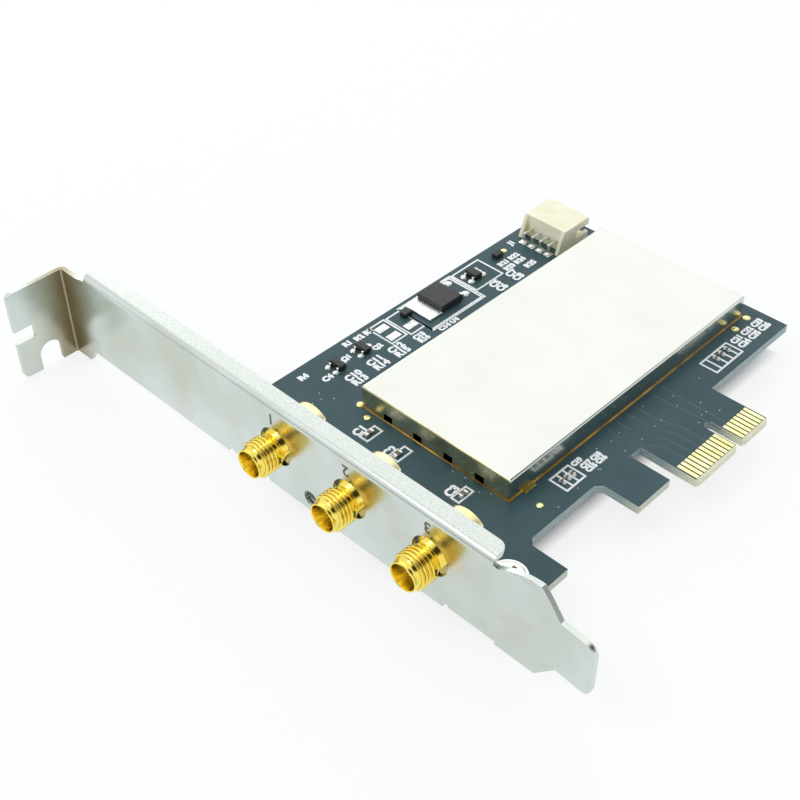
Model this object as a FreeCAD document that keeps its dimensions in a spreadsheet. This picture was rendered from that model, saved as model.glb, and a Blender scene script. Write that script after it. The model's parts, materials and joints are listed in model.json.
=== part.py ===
"""Wireless network card for an expansion slot, in millimetres.

Pieces are drawn in card coordinates: x runs inward from the bracket's outer face, y is 0 at the
folded tab and falls towards the tongue, z rises from the lower edge of the bracket's face.
Each finished piece is then moved so that the origin is under the middle of the whole card.
"""
import FreeCAD
import Part
import math
import os
import re
import Sketcher
from FreeCAD import Rotation, Vector

SIZES = {
    # bracket: one folded sheet
    "bracket_length": 120.02,
    "bracket_width": 18.42,
    "sheet_thick": 0.9,
    "bend_radius": 0.4,
    "tab_depth": 11.43,
    "tab_width": 18.42,
    "tab_drop": 2.97,
    "tab_corner": 1.3,
    "tab_root": 2.0,
    "tab_slot_width": 2.7,
    "tab_slot_depth": 3.9,
    "tab_slot_height": 6.1,
    "screw_notch_reach": 5.3,
    "screw_notch_width": 4.5,
    "screw_notch_rise": 2.2,
    "neck_length": 4.9,
    "neck_slope": 2.1,
    "flange_height": 17.3,
    "flange_reach": 3.55,
    "flange_start": 7.6,
    "flange_end": 101.7,
    "flange_corner": 1.8,
    "flange_relief": 0.8,
    "end_round": 13.2,
    "shoulder_start": 110.1,
    "tongue_start": 113.75,
    "tongue_width": 10.0,
    "tongue_offset": 4.25,
    "tongue_bend": 111.5,
    "tongue_kick": 0.7,
    "tip_corner": 1.9,
    # ears folded in under the board, and their screws
    "ear_first": 98.1,
    "ear_pitch": 48.3,
    "ear_width": 8.6,
    "ear_hole": 8.4,
    "ear_rise": -0.25,
    "ear_boss_radius": 2.9,
    "ear_boss_height": 1.55,
    "ear_relief_narrow": 0.4,
    "ear_relief_wide": 1.1,
    "screw_radius": 1.45,
    "screw_gap": 0.05,
    "screw_head_radius": 3.1,
    "screw_head_height": 1.2,
    "screw_head_edge": 0.45,
    "screw_end": 0.8,
    "drive_length": 3.0,
    "drive_width": 0.7,
    "drive_depth": 0.8,
    "board_screw_hole": 1.7,
    "lamp_hole_radius": 1.5,
    "lamp_hole_along": 64.55,
    "lamp_hole_height": 2.6,
    # antenna jacks
    "port_first": 56.91,
    "port_pitch": 16.55,
    "port_height": 8.96,
    "port_hole_radius": 3.5,
    "jack_reach": 5.65,
    "jack_collar_radius": 2.55,
    "jack_collar_length": 1.25,
    "jack_thread_radius": 3.13,
    "jack_groove_radius": 2.75,
    "jack_groove_start": 1.4,
    "jack_ring_start": 0.9,
    "jack_ring_radius": 3.3,
    "jack_neck_flat": 2.45,
    "jack_gap": 0.15,
    "jack_body_arch": 4.2,
    "jack_body_shoulder": 2.2,
    "jack_body_end": 8.4,
    "jack_bore_radius": 2.25,
    "jack_bore_end": 1.2,
    "jack_foot_width": 6.0,
    "jack_leg_side": 0.8,
    "jack_leg_inset": 0.75,
    "lead_end": 1.2,
    "lead_gap": 0.15,
    "insulator_radius": 2.05,
    "insulator_end": 6.2,
    "insulator_stem": 2.4,
    "pin_radius": 0.46,
    "pin_start": 4.4,
    "pin_bend": 4.6,
    # circuit board
    "board_reach": 88.8,
    "board_margin": 1.85,
    "board_base": 95.6,
    "board_thick": 1.6,
    "board_gap": 0.4,
    "leg_drop": 7.8,
    "leg_first_width": 14.4,
    "recess_width": 17.5,
    "recess_cut": 1.1,
    "leg_second_width": 8.3,
    "edge_drop": 11.3,
    "edge_cut": 0.5,
    "edge_bevel_run": 0.5,
    "edge_bevel_drop": 0.3,
    "key_width": 1.9,
    "key_depth": 7.1,
    "contact_first": 45.0,
    "contact_pitch": 1.0,
    "contact_width": 0.7,
    "contact_length": 3.9,
    "contact_setback": 0.55,
    "contact_margin": 0.65,
    "foil_thick": 0.06,
    # shield can
    "can_start": 20.2,
    "can_length": 65.2,
    "can_low": 88.1,
    "can_width": 32.6,
    "can_height": 4.4,
    "can_sheet": 0.3,
    "can_bend": 0.5,
    "can_notch_width": 1.9,
    "can_notch_height": 1.4,
    "can_notch_pitch": 6.73,
    "can_slit": 0.2,
    "ring_margin": 0.25,
    "ring_width": 0.95,
    "ring_tab_start": 3.2,
    "ring_tab_length": 2.6,
    "ring_tab_reach": 0.75,
    # cable header
    "header_start": 78.5,
    "header_length": 7.6,
    "header_gap": 3.1,
    "header_width": 9.9,
    "header_height": 4.8,
    "header_wall": 0.8,
    "header_back": 1.6,
    "header_ear_reach": 1.7,
    "header_ear_foot": 0.5,
    "header_slot": 1.6,
    "header_pitch": 2.0,
    "header_pin_side": 0.5,
    "header_pin_height": 1.9,
    "header_pin_front": 1.4,
    "header_pin_back": 2.3,
    "header_pad_side": 1.6,
    # voltage regulator
    "regulator_tab_reach": 3.4,
    "regulator_tab_width": 6.6,
    "regulator_tab_thick": 0.5,
    "regulator_lead_width": 0.85,
    "regulator_lead_pitch": 4.4,
    "regulator_lead_reach": 2.0,
    "regulator_lead_rise": 0.7,
    # transistor leads
    "lead_width": 0.45,
    "lead_pitch": 1.9,
    "lead_reach": 0.75,
    "lead_thick": 0.15,
    "lead_rise": 0.6,
    "small_chip_stand": 0.1,
    "pad_pitch": 3.0,
    "pad_shift": 1.8,
}

# chips under the can: middle along x and y from the can's corner, then length, width, height
CHIPS_UNDER_CAN = {
    "radio_chip": (33.0, 16.3, 10.0, 10.0, 0.9),
    "front_end_first": (12.0, 26.0, 4.0, 4.0, 0.75),
    "front_end_second": (12.0, 16.3, 4.0, 4.0, 0.75),
    "front_end_third": (12.0, 6.6, 4.0, 4.0, 0.75),
    "reference_crystal": (44.0, 24.0, 3.2, 2.5, 0.8),
    "memory_chip": (51.0, 9.0, 5.0, 4.0, 0.9),
    "inductor_first": (54.0, 20.0, 2.5, 2.0, 1.2),
    "inductor_second": (54.0, 25.0, 2.5, 2.0, 1.2),
}
# antenna capacitors: middle along x and y from the board's upper corner, then length, width, height
ANTENNA_CAPACITORS = {
    "antenna_capacitor_first": (14.9, -21.0, 1.6, 0.8, 0.5),
    "antenna_capacitor_second": (14.5, -27.9, 1.6, 0.8, 0.5),
    "antenna_capacitor_third": (15.1, -41.6, 1.6, 0.8, 0.5),
}
# parts along the upper edge, in order: gap after the part before, middle below the edge, sizes
UPPER_ROW = {
    "transistor_first": (21.85, 4.8, 1.4, 2.9, 1.0),
    "transistor_second": (3.3, 4.7, 1.4, 2.9, 1.0),
    "pad_pair": (3.85, 4.4, 2.6, 1.6),
    "diode_first": (3.6, 3.3, 2.0, 1.4, 1.0),
    "regulator": (0.5, 4.6, 5.4, 6.2, 1.5),
    "load_switch": (3.7, 4.1, 1.7, 2.9, 1.1),
    "diode_second": (5.4, 3.2, 2.0, 1.4, 1.0),
}
# how far leads or tabs of these parts stand out before and after the body
ROW_REACH = {
    "transistor_first": ("lead_reach", "lead_reach"),
    "transistor_second": ("lead_reach", "lead_reach"),
    "regulator": ("regulator_tab_reach", "regulator_lead_reach"),
    "load_switch": ("lead_reach", "lead_reach"),
}
# rows of small capacitors: first middle x and y from their corner, step along x, then sizes
CAPACITOR_ROWS = {
    "coupling_capacitors_first": (28.05, 4.2, 1.25, 0.5, 1.0, 0.5),
    "coupling_capacitors_second": (70.6, 3.9, 1.7, 0.5, 1.0, 0.5),
    "decoupling_capacitors": (0.6, -1.2, 1.25, 0.5, 1.0, 0.5),
}
# bare gold dots: middle x and y from their corner, then radius
GOLD_DOTS = {
    "dot_low_left": (21.55, 3.5, 0.45),
    "dot_low_middle": (80.0, 6.15, 0.7),
    "dot_low_far": (84.2, 6.45, 0.7),
    "dot_port_lower": (17.35, -18.0, 0.5),
    "dot_upper": (69.9, -2.9, 0.6),
}
PLACE_WORDS = ("along", "across", "length", "width", "height")
UPPER_ROW_WORDS = ("gap", "below", "length", "width", "height")
CAPACITOR_WORDS = ("along", "across", "step", "length", "width", "height")
DOT_WORDS = ("along", "across", "radius")

PORT_COUNT = 3
EAR_COUNT = 2
COUPLING_COUNT = 3
DECOUPLING_COUNT = 8
CONTACTS_BEFORE_KEY = 11
CONTACTS_IN_ALL = 18
KEY_PITCHES = 2
CAN_NOTCH_COUNT = 4
HEADER_PIN_COUNT = 4

# the origin of the finished card, and heights and edges shared by several pieces
FRAME = ("(tab_depth - board_reach) / 2", "bracket_length / 2", "tab_drop")
ORIGIN = ("0", "0", "0")
BEND = "(bend_radius + sheet_thick)"
TAB_TOP = "(tab_width - tab_drop)"
PLATE_TOP = f"(flange_height - {BEND})"
TONGUE_TOP = "(tongue_offset + tongue_width)"
EAR_SHEET_TOP = "(ear_rise + sheet_thick)"
EAR_TOP = f"({EAR_SHEET_TOP} + ear_boss_height)"
EAR_BEND_TOP = f"(ear_rise + {BEND})"
BOARD_TOP = f"({EAR_TOP} + board_thick)"
BOARD_LEFT = "(sheet_thick + board_gap)"
HEADER_LOW = "(can_low - can_width - ring_margin - header_gap)"
HEADER_MID = f"({HEADER_LOW} - header_width / 2)"
BOARD_UPPER = f"({HEADER_LOW} - header_width - board_margin)"
UPPER_CORNER = (BOARD_LEFT, f"-{BOARD_UPPER}")
BASE_CORNER = (BOARD_LEFT, "-board_base")
CAN_CORNER = ("can_start", "-can_low")
CHIP_CORNER = (
    "can_start + radio_chip_along - radio_chip_length / 2",
    "radio_chip_across - radio_chip_width / 2 - can_low",
)
RECESS_LEFT = f"({BOARD_LEFT} + leg_first_width)"
RECESS_RIGHT = f"({RECESS_LEFT} + recess_width)"
EDGE_LEFT = "(contact_first - contact_margin)"
EDGE_PITCHES = CONTACTS_IN_ALL + KEY_PITCHES - 1
EDGE_RIGHT = f"(contact_first + {EDGE_PITCHES} * contact_pitch + contact_margin)"
KEY_MIDDLE = f"(contact_first + {CONTACTS_BEFORE_KEY + 0.5} * contact_pitch)"
EDGE_LOW = "(board_base + edge_drop)"
LEG_LOW = "(board_base + leg_drop)"
AXIS_TO_BOARD = f"(port_height - {BOARD_TOP})"
CAN_FLOOR = f"({BOARD_TOP} + foil_thick)"
HEADER_COLUMN = "(header_start - header_pin_back)"

AXES = {"x": Vector(1, 0, 0), "y": Vector(0, 1, 0), "z": Vector(0, 0, 1)}
PLANES = {
    "xy": ("z", Rotation()),
    "xz": ("y", Rotation(Vector(1, 0, 0), 90)),
    "yz": ("x", Rotation(Vector(1, 1, 1), 120)),
}
# the flats on a jack's neck are turned about its axis
NECK_TURN = Rotation(Vector(1, 0, 0), 30)
TURNS = {"x": Rotation(Vector(0, 1, 0), 90), "y": Rotation(Vector(1, 0, 0), -90), "z": Rotation()}

doc = FreeCAD.newDocument("card")
sheet = doc.addObject("Spreadsheet::Sheet", "sizes")
nodes = []
spots = {}


def fill_sheet():
    """Put every driving size into the sheet, each under its own name."""
    rows = dict(SIZES)
    for table, words in (
        (CHIPS_UNDER_CAN, PLACE_WORDS),
        (ANTENNA_CAPACITORS, PLACE_WORDS),
        (UPPER_ROW, UPPER_ROW_WORDS),
        (CAPACITOR_ROWS, CAPACITOR_WORDS),
        (GOLD_DOTS, DOT_WORDS),
    ):
        for name, values in table.items():
            rows.update({f"{name}_{word}": number for word, number in zip(words, values)})
    for row, (name, number) in enumerate(rows.items(), start=1):
        sheet.set(f"A{row}", name)
        sheet.set(f"B{row}", str(number))
        sheet.setAlias(f"B{row}", name)
    doc.recompute()


def formula(text):
    """Turn a formula in size names into an expression on the sheet."""
    return re.sub(r"[a-z][a-z_]+", lambda word: "sizes." + word.group(), text)


def value(text):
    return float(sheet.evalExpression(formula(text)))


def bind(item, prop, text):
    item.setExpression(prop, formula(text))


def place(item, at):
    spots[item.Name] = at
    for axis, text in zip("xyz", at):
        bind(item, f"Placement.Base.{axis}", text)
    return item


def box(name, low, size):
    item = doc.addObject("Part::Box", name)
    for prop, text in zip(("Length", "Width", "Height"), size):
        bind(item, prop, text)
    return place(item, low)


def cylinder(name, start, axis, radius, length):
    item = doc.addObject("Part::Cylinder", name)
    item.Placement = FreeCAD.Placement(Vector(), TURNS[axis])
    bind(item, "Radius", radius)
    bind(item, "Height", length)
    return place(item, start)


def edge_between(here, there, radius):
    """Straight edge, or an arc whose centre is left of the way (right of it if negative)."""
    if radius is None:
        return Part.LineSegment(here, there)
    chord = there - here
    left = Vector(-chord.y, chord.x, 0) / chord.Length * math.copysign(1.0, radius)
    centre = (here + there) / 2 + left * math.sqrt(radius ** 2 - chord.Length ** 2 / 4)
    ends = [math.atan2(point.y - centre.y, point.x - centre.x) for point in (here, there)]
    if radius < 0:
        ends.reverse()
    return Part.ArcOfCircle(Part.Circle(centre, AXES["z"], abs(radius)), *ends)


def outline(name, plane, level, corners):
    """Closed outline in one plane; a third value at a corner is the radius of the edge after it."""
    normal, turn = PLANES[plane]
    sketch = doc.addObject("Sketcher::SketchObject", name)
    sketch.Placement = FreeCAD.Placement(Vector(), turn)
    bind(sketch, f"Placement.Base.{normal}", level)
    points = [Vector(value(corner[0]), value(corner[1]), 0) for corner in corners]
    starts = []
    for corner, here, there in zip(corners, points, points[1:] + points[:1]):
        radius = value(corner[2]) if len(corner) > 2 else None
        number = sketch.addGeometry(edge_between(here, there, radius))
        clockwise = radius is not None and radius < 0
        starts.append((number, 2 if clockwise else 1))
    for (number, end), following in zip(starts, starts[1:] + starts[:1]):
        sketch.addConstraint(Sketcher.Constraint("Coincident", number, 3 - end, *following))
    for (number, end), corner in zip(starts, corners):
        for kind, text in zip(("DistanceX", "DistanceY"), corner):
            rule = Sketcher.Constraint(kind, -1, 1, number, end, value(text))
            bind(sketch, f"Constraints[{sketch.addConstraint(rule)}]", text)
        if len(corner) > 2:
            rule = Sketcher.Constraint("Radius", number, abs(value(corner[2])))
            bind(sketch, f"Constraints[{sketch.addConstraint(rule)}]", corner[2].lstrip("-"))
    return sketch


def extrude(name, plane, level, length, corners):
    item = doc.addObject("Part::Extrusion", name)
    item.Base = outline(name + "_outline", plane, level, corners)
    item.DirMode = "Custom"
    item.Dir = AXES[PLANES[plane][0]]
    item.Solid = True
    bind(item, "LengthFwd", length)
    return item


def revolve(name, plane, axis, corners):
    item = doc.addObject("Part::Revolution", name)
    item.Source = outline(name + "_outline", plane, "0", corners)
    item.Axis = AXES[axis]
    item.Solid = True
    return item


def joined(kind, name, items):
    """Fuse ("MultiFuse") or common part ("MultiCommon") of several shapes."""
    item = doc.addObject("Part::" + kind, name)
    item.Shapes = items
    item.Refine = True
    return item


def group(name, items):
    item = doc.addObject("Part::Compound", name)
    item.Links = items
    return item


def cut(name, base, tools):
    item = doc.addObject("Part::Cut", name)
    item.Base = base
    item.Tool = tools[0] if len(tools) == 1 else group(name + "_tools", tools)
    item.Refine = True
    return item


def eased_top(kind, name, base, radius):
    """Round ("Fillet") or bevel ("Chamfer") the upper edges of a box or cylinder."""
    doc.recompute()
    item = doc.addObject("Part::" + kind, name)
    item.Base = base
    top = base.Shape.BoundBox.ZMax
    item.Edges = [
        (number, value(radius), value(radius))
        for number, edge in enumerate(base.Shape.Edges, start=1)
        if min(vertex.Point.z for vertex in edge.Vertexes) > top - 1e-6
    ]
    return item


def node(label, item):
    """Finish one piece: move it from card coordinates to the shared frame and list it."""
    for axis, start, text in zip("xyz", FRAME, spots.get(item.Name, ORIGIN)):
        bind(item, f"Placement.Base.{axis}", f"{start} + ({text})")
    item.Label = label
    nodes.append(item)


def ear_middle(number):
    return f"(ear_first - {number} * ear_pitch)"


def port_middle(number):
    return f"(port_first + {number} * port_pitch)"


def bend_profile(name, edge, out, tip, level, length):
    """Sheet folded inward from the face, seen along y: edge is its outer side, out is + or -."""
    back = "-" if out == "+" else "+"
    turn, unturn = ("-", "") if out == "+" else ("", "-")
    start = f"{edge} {back} {BEND}"
    inner = f"{edge} {back} sheet_thick"
    corners = [
        ("0", start, turn + BEND),
        (BEND, edge),
        (tip, edge),
        (tip, inner),
        (BEND, inner, unturn + "bend_radius"),
        ("sheet_thick", start),
    ]
    return extrude(name, "xz", level, length, corners)


def bracket_sheet():
    """Face, neck, tab and tongue: the folded strip trimmed by its front and end outlines."""
    strip = extrude("strip", "xy", "-tab_drop", "tab_drop + bracket_width", [
        ("-tab_depth", "0"),
        ("-tab_depth", "-sheet_thick"),
        ("-bend_radius", "-sheet_thick", "-bend_radius"),
        ("0", f"-{BEND}"),
        ("0", "-tongue_bend"),
        ("-tongue_kick", "-bracket_length"),
        ("sheet_thick - tongue_kick", "-bracket_length"),
        ("sheet_thick", "-tongue_bend"),
        ("sheet_thick", f"-{BEND}", BEND),
        ("-bend_radius", "0"),
    ])
    ear_corners = []
    for number in range(EAR_COUNT):
        far = f"-({ear_middle(number)} + ear_width / 2 + ear_relief_narrow)"
        near = f"-({ear_middle(number)} - ear_width / 2 - ear_relief_wide)"
        ear_corners += [(far, "0"), (far, EAR_BEND_TOP), (near, EAR_BEND_TOP), (near, "0")]
    front = extrude("front", "yz", "-tab_depth", "tab_depth + sheet_thick", [
        ("0", "-tab_drop"),
        ("0", TAB_TOP),
        ("-neck_length", TAB_TOP),
        ("-(neck_length + neck_slope)", PLATE_TOP),
        ("-(flange_end + flange_relief)", PLATE_TOP, "end_round"),
        ("-shoulder_start", "bracket_width"),
        ("-tongue_start", TONGUE_TOP),
        ("-(bracket_length - tip_corner)", TONGUE_TOP, "tip_corner"),
        ("-bracket_length", f"{TONGUE_TOP} - tip_corner"),
        ("-bracket_length", "tongue_offset + tip_corner", "tip_corner"),
        ("-(bracket_length - tip_corner)", "tongue_offset"),
        ("-tongue_start", "tongue_offset"),
        ("-shoulder_start", "0"),
        *ear_corners,
        ("-(neck_length + neck_slope)", "0"),
        ("-neck_length", "-tab_drop"),
    ])
    slot_end = "-(tab_depth - tab_slot_depth)"
    notch_left = "-(screw_notch_reach + screw_notch_width / 2)"
    notch_right = "-(screw_notch_reach - screw_notch_width / 2)"
    notch_shoulder = "screw_notch_rise - screw_notch_width / 2"
    end = extrude("end", "xz", "-bracket_length", "bracket_length", [
        ("sheet_thick", "-tab_drop"),
        ("sheet_thick", "bracket_width"),
        ("-tab_root", "bracket_width"),
        ("-tab_root", TAB_TOP),
        ("-(tab_depth - tab_corner)", TAB_TOP, "tab_corner"),
        ("-tab_depth", f"{TAB_TOP} - tab_corner"),
        ("-tab_depth", "tab_slot_height + tab_slot_width / 2"),
        (slot_end, "tab_slot_height + tab_slot_width / 2"),
        (slot_end, "tab_slot_height - tab_slot_width / 2"),
        ("-tab_depth", "tab_slot_height - tab_slot_width / 2"),
        ("-tab_depth", "tab_corner - tab_drop", "tab_corner"),
        ("-(tab_depth - tab_corner)", "-tab_drop"),
        (notch_left, "-tab_drop"),
        (notch_left, notch_shoulder, "-screw_notch_width / 2"),
        ("-screw_notch_reach", "screw_notch_rise", "-screw_notch_width / 2"),
        (notch_right, notch_shoulder),
        (notch_right, "-tab_drop"),
    ])
    return joined("MultiCommon", "bracket_sheet", [strip, front, end])


def bracket_flange():
    length = "flange_end - flange_start"
    bend = bend_profile("flange_bend", "flange_height", "+", "flange_reach", "-flange_end", length)
    plan = extrude("flange_plan", "xy", PLATE_TOP, BEND, [
        ("0", "-flange_end"),
        ("flange_reach - flange_corner", "-flange_end", "flange_corner"),
        ("flange_reach", "-(flange_end - flange_corner)"),
        ("flange_reach", "-flange_start"),
        ("0", "-flange_start"),
    ])
    return joined("MultiCommon", "flange", [bend, plan])


def bracket_ear(number):
    """Round-ended ear folded in from the lower edge, with a boss that carries the board."""
    middle = ear_middle(number)
    low = f"-({middle} + ear_width / 2)"
    high = f"-({middle} - ear_width / 2)"
    tip = "ear_hole + ear_width / 2"
    bend = bend_profile(f"ear_bend_{number}", "ear_rise", "-", tip, low, "ear_width")
    plan = extrude(f"ear_plan_{number}", "xy", "ear_rise", BEND, [
        ("0", low),
        ("ear_hole", low, "ear_width / 2"),
        (tip, f"-{middle}", "ear_width / 2"),
        ("ear_hole", high),
        ("0", high),
    ])
    ear = joined("MultiCommon", f"ear_blank_{number}", [bend, plan])
    boss = cylinder(
        f"ear_boss_{number}", ("ear_hole", f"-{middle}", EAR_SHEET_TOP), "z",
        "ear_boss_radius", "ear_boss_height",
    )
    hole = cylinder(
        f"ear_hole_{number}", ("ear_hole", f"-{middle}", "ear_rise"), "z",
        "screw_radius + screw_gap", "sheet_thick + ear_boss_height",
    )
    return cut(f"ear_{number}", joined("MultiFuse", f"ear_solid_{number}", [ear, boss]), [hole])


def make_bracket():
    ears = [bracket_ear(number) for number in range(EAR_COUNT)]
    blank = joined("MultiFuse", "bracket_blank", [bracket_sheet(), bracket_flange(), *ears])
    holes = [
        cylinder(
            f"port_hole_{number}", ("-tab_root", f"-{port_middle(number)}", "port_height"), "x",
            "port_hole_radius", "2 * tab_root",
        )
        for number in range(PORT_COUNT)
    ]
    lamp_at = ("-tab_root", "-lamp_hole_along", "lamp_hole_height")
    holes.append(cylinder("lamp_hole", lamp_at, "x", "lamp_hole_radius", "2 * tab_root"))
    node("bracket", cut("bracket", blank, holes))


def make_screws():
    """Two cross-drive screws through the board into the bracket's ears."""
    screws = []
    for number in range(EAR_COUNT):
        middle = f"-{ear_middle(number)}"
        head = cylinder(
            f"screw_head_{number}", ("ear_hole", middle, BOARD_TOP), "z",
            "screw_head_radius", "screw_head_height",
        )
        domed = eased_top("Chamfer", f"screw_dome_{number}", head, "screw_head_edge")
        shank = cylinder(
            f"screw_shank_{number}", ("ear_hole", middle, "ear_rise - screw_end"), "z",
            "screw_radius", "screw_end + sheet_thick + ear_boss_height + board_thick",
        )
        level = f"{BOARD_TOP} + screw_head_height - drive_depth"
        slots = []
        for way, size in enumerate((("drive_length", "drive_width"), ("drive_width", "drive_length"))):
            low = (f"ear_hole - {size[0]} / 2", f"{middle} - {size[1]} / 2", level)
            slots.append(box(f"drive_{number}_{way}", low, (*size, "drive_depth")))
        solid = joined("MultiFuse", f"screw_blank_{number}", [domed, shank])
        screws.append(cut(f"screw_{number}", solid, slots))
    node("bracket_screws", group("bracket_screws", screws))


def jack_leg_spots():
    """Middles of a jack's four legs, from its axis at the bracket's face."""
    inset = "(jack_leg_inset + jack_leg_side / 2)"
    side = "(jack_foot_width / 2 - jack_leg_side / 2)"
    ends = (f"sheet_thick + jack_gap + {inset}", f"jack_body_end - {inset}")
    return [(along, f"{sign}{side}") for along in ends for sign in ("", "-")]


def make_jack(number):
    """One antenna jack: turned barrel on an arched block with legs, insulator and bent pin."""
    word = str(number + 1)
    at = ("0", f"-{port_middle(number)}", "port_height")
    body_start = "sheet_thick + jack_gap"
    barrel = revolve("barrel_" + word, "xz", "x", [
        ("-jack_reach", "jack_bore_radius"),
        ("-jack_bore_end", "jack_bore_radius"),
        ("-jack_bore_end", "0"),
        (body_start, "0"),
        (body_start, "jack_ring_radius"),
        ("-jack_ring_start", "jack_ring_radius"),
        ("-jack_ring_start", "jack_groove_radius"),
        ("-jack_groove_start", "jack_groove_radius"),
        ("-jack_groove_start", "jack_thread_radius"),
        ("-(jack_reach - jack_collar_length)", "jack_thread_radius"),
        ("-(jack_reach - jack_collar_length)", "jack_collar_radius"),
        ("-jack_reach", "jack_collar_radius"),
    ])
    neck_length = f"jack_ring_start + {body_start}"
    flats = []
    for number_of_side, side in enumerate(("jack_neck_flat", "-(jack_neck_flat + jack_ring_radius)")):
        low = ("-jack_ring_start", side, "-jack_ring_radius")
        size = (neck_length, "jack_ring_radius", "2 * jack_ring_radius")
        flats.append(box(f"neck_flat_{word}_{number_of_side}", low, size))
    neck_sides = group("neck_sides_" + word, flats)
    neck_sides.Placement = FreeCAD.Placement(Vector(), NECK_TURN)
    barrel = cut("necked_barrel_" + word, barrel, [neck_sides])
    half = "jack_foot_width / 2"
    block = extrude("block_" + word, "yz", body_start, f"jack_body_end - ({body_start})", [
        (f"-{half}", f"-{AXIS_TO_BOARD}"),
        (half, f"-{AXIS_TO_BOARD}"),
        (half, "jack_body_shoulder", "jack_body_arch"),
        (f"-{half}", "jack_body_shoulder"),
    ])
    leg_length = "board_thick + lead_end"
    legs = []
    for corner, (along, across) in enumerate(jack_leg_spots()):
        low = (
            f"{along} - jack_leg_side / 2", f"{across} - jack_leg_side / 2",
            f"-({AXIS_TO_BOARD} + {leg_length})",
        )
        legs.append(box(f"leg_{word}_{corner}", low, ("jack_leg_side", "jack_leg_side", leg_length)))
    blank = joined("MultiFuse", "jack_blank_" + word, [barrel, block, *legs])

    def insulator_shape(name):
        core_at = ("-jack_bore_end", "0", "0")
        core_length = "jack_bore_end + insulator_end"
        core = cylinder(name + "_core", core_at, "x", "insulator_radius", core_length)
        stem_low = ("pin_bend - insulator_stem / 2", "-insulator_stem / 2", f"-{AXIS_TO_BOARD}")
        stem = box(name + "_stem", stem_low, ("insulator_stem", "insulator_stem", AXIS_TO_BOARD))
        return joined("MultiFuse", name, [core, stem])

    def pin_shape(name):
        rod_at = ("-pin_start", "0", "0")
        rod = cylinder(name + "_rod", rod_at, "x", "pin_radius", "pin_start + pin_bend")
        drop_at = ("pin_bend", "0", f"-({AXIS_TO_BOARD} + {leg_length})")
        drop = cylinder(name + "_drop", drop_at, "z", "pin_radius", f"{AXIS_TO_BOARD} + {leg_length}")
        return joined("MultiFuse", name, [rod, drop])

    jack = cut("jack_" + word, blank, [insulator_shape("cavity_" + word)])
    insulator = cut(
        "insulator_" + word, insulator_shape("insulator_blank_" + word),
        [pin_shape("pin_way_" + word)],
    )
    node("antenna_jack_" + word, place(jack, at))
    node("jack_insulator_" + word, place(insulator, at))
    node("jack_pin_" + word, place(pin_shape("pin_" + word), at))


def header_pin_middle(number):
    return f"-({HEADER_MID} + {number - (HEADER_PIN_COUNT - 1) / 2} * header_pitch)"


def square_way(name, along, across, side):
    """Square way through the board for a square lead, with room all round."""
    reach = f"({side} / 2 + lead_gap)"
    low = (f"{along} - {reach}", f"{across} - {reach}", EAR_TOP)
    return box(name, low, (f"2 * {reach}", f"2 * {reach}", "board_thick"))


def board_holes():
    """Ways through the board for the screws, the jacks' legs and pins, and the header's pins."""
    holes = []
    for number in range(EAR_COUNT):
        at = ("ear_hole", f"-{ear_middle(number)}", EAR_TOP)
        holes.append(cylinder(f"screw_way_{number}", at, "z", "board_screw_hole", "board_thick"))
    for number in range(PORT_COUNT):
        middle = f"-{port_middle(number)}"
        at = ("pin_bend", middle, EAR_TOP)
        way = cylinder(f"pin_way_{number}", at, "z", "pin_radius + lead_gap", "board_thick")
        holes.append(way)
        for corner, (along, across) in enumerate(jack_leg_spots()):
            name = f"leg_way_{number}_{corner}"
            holes.append(square_way(name, along, f"{middle} + ({across})", "jack_leg_side"))
    for number in range(HEADER_PIN_COUNT):
        middle = header_pin_middle(number)
        holes.append(square_way(f"header_way_{number}", HEADER_COLUMN, middle, "header_pin_side"))
    return holes


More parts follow.
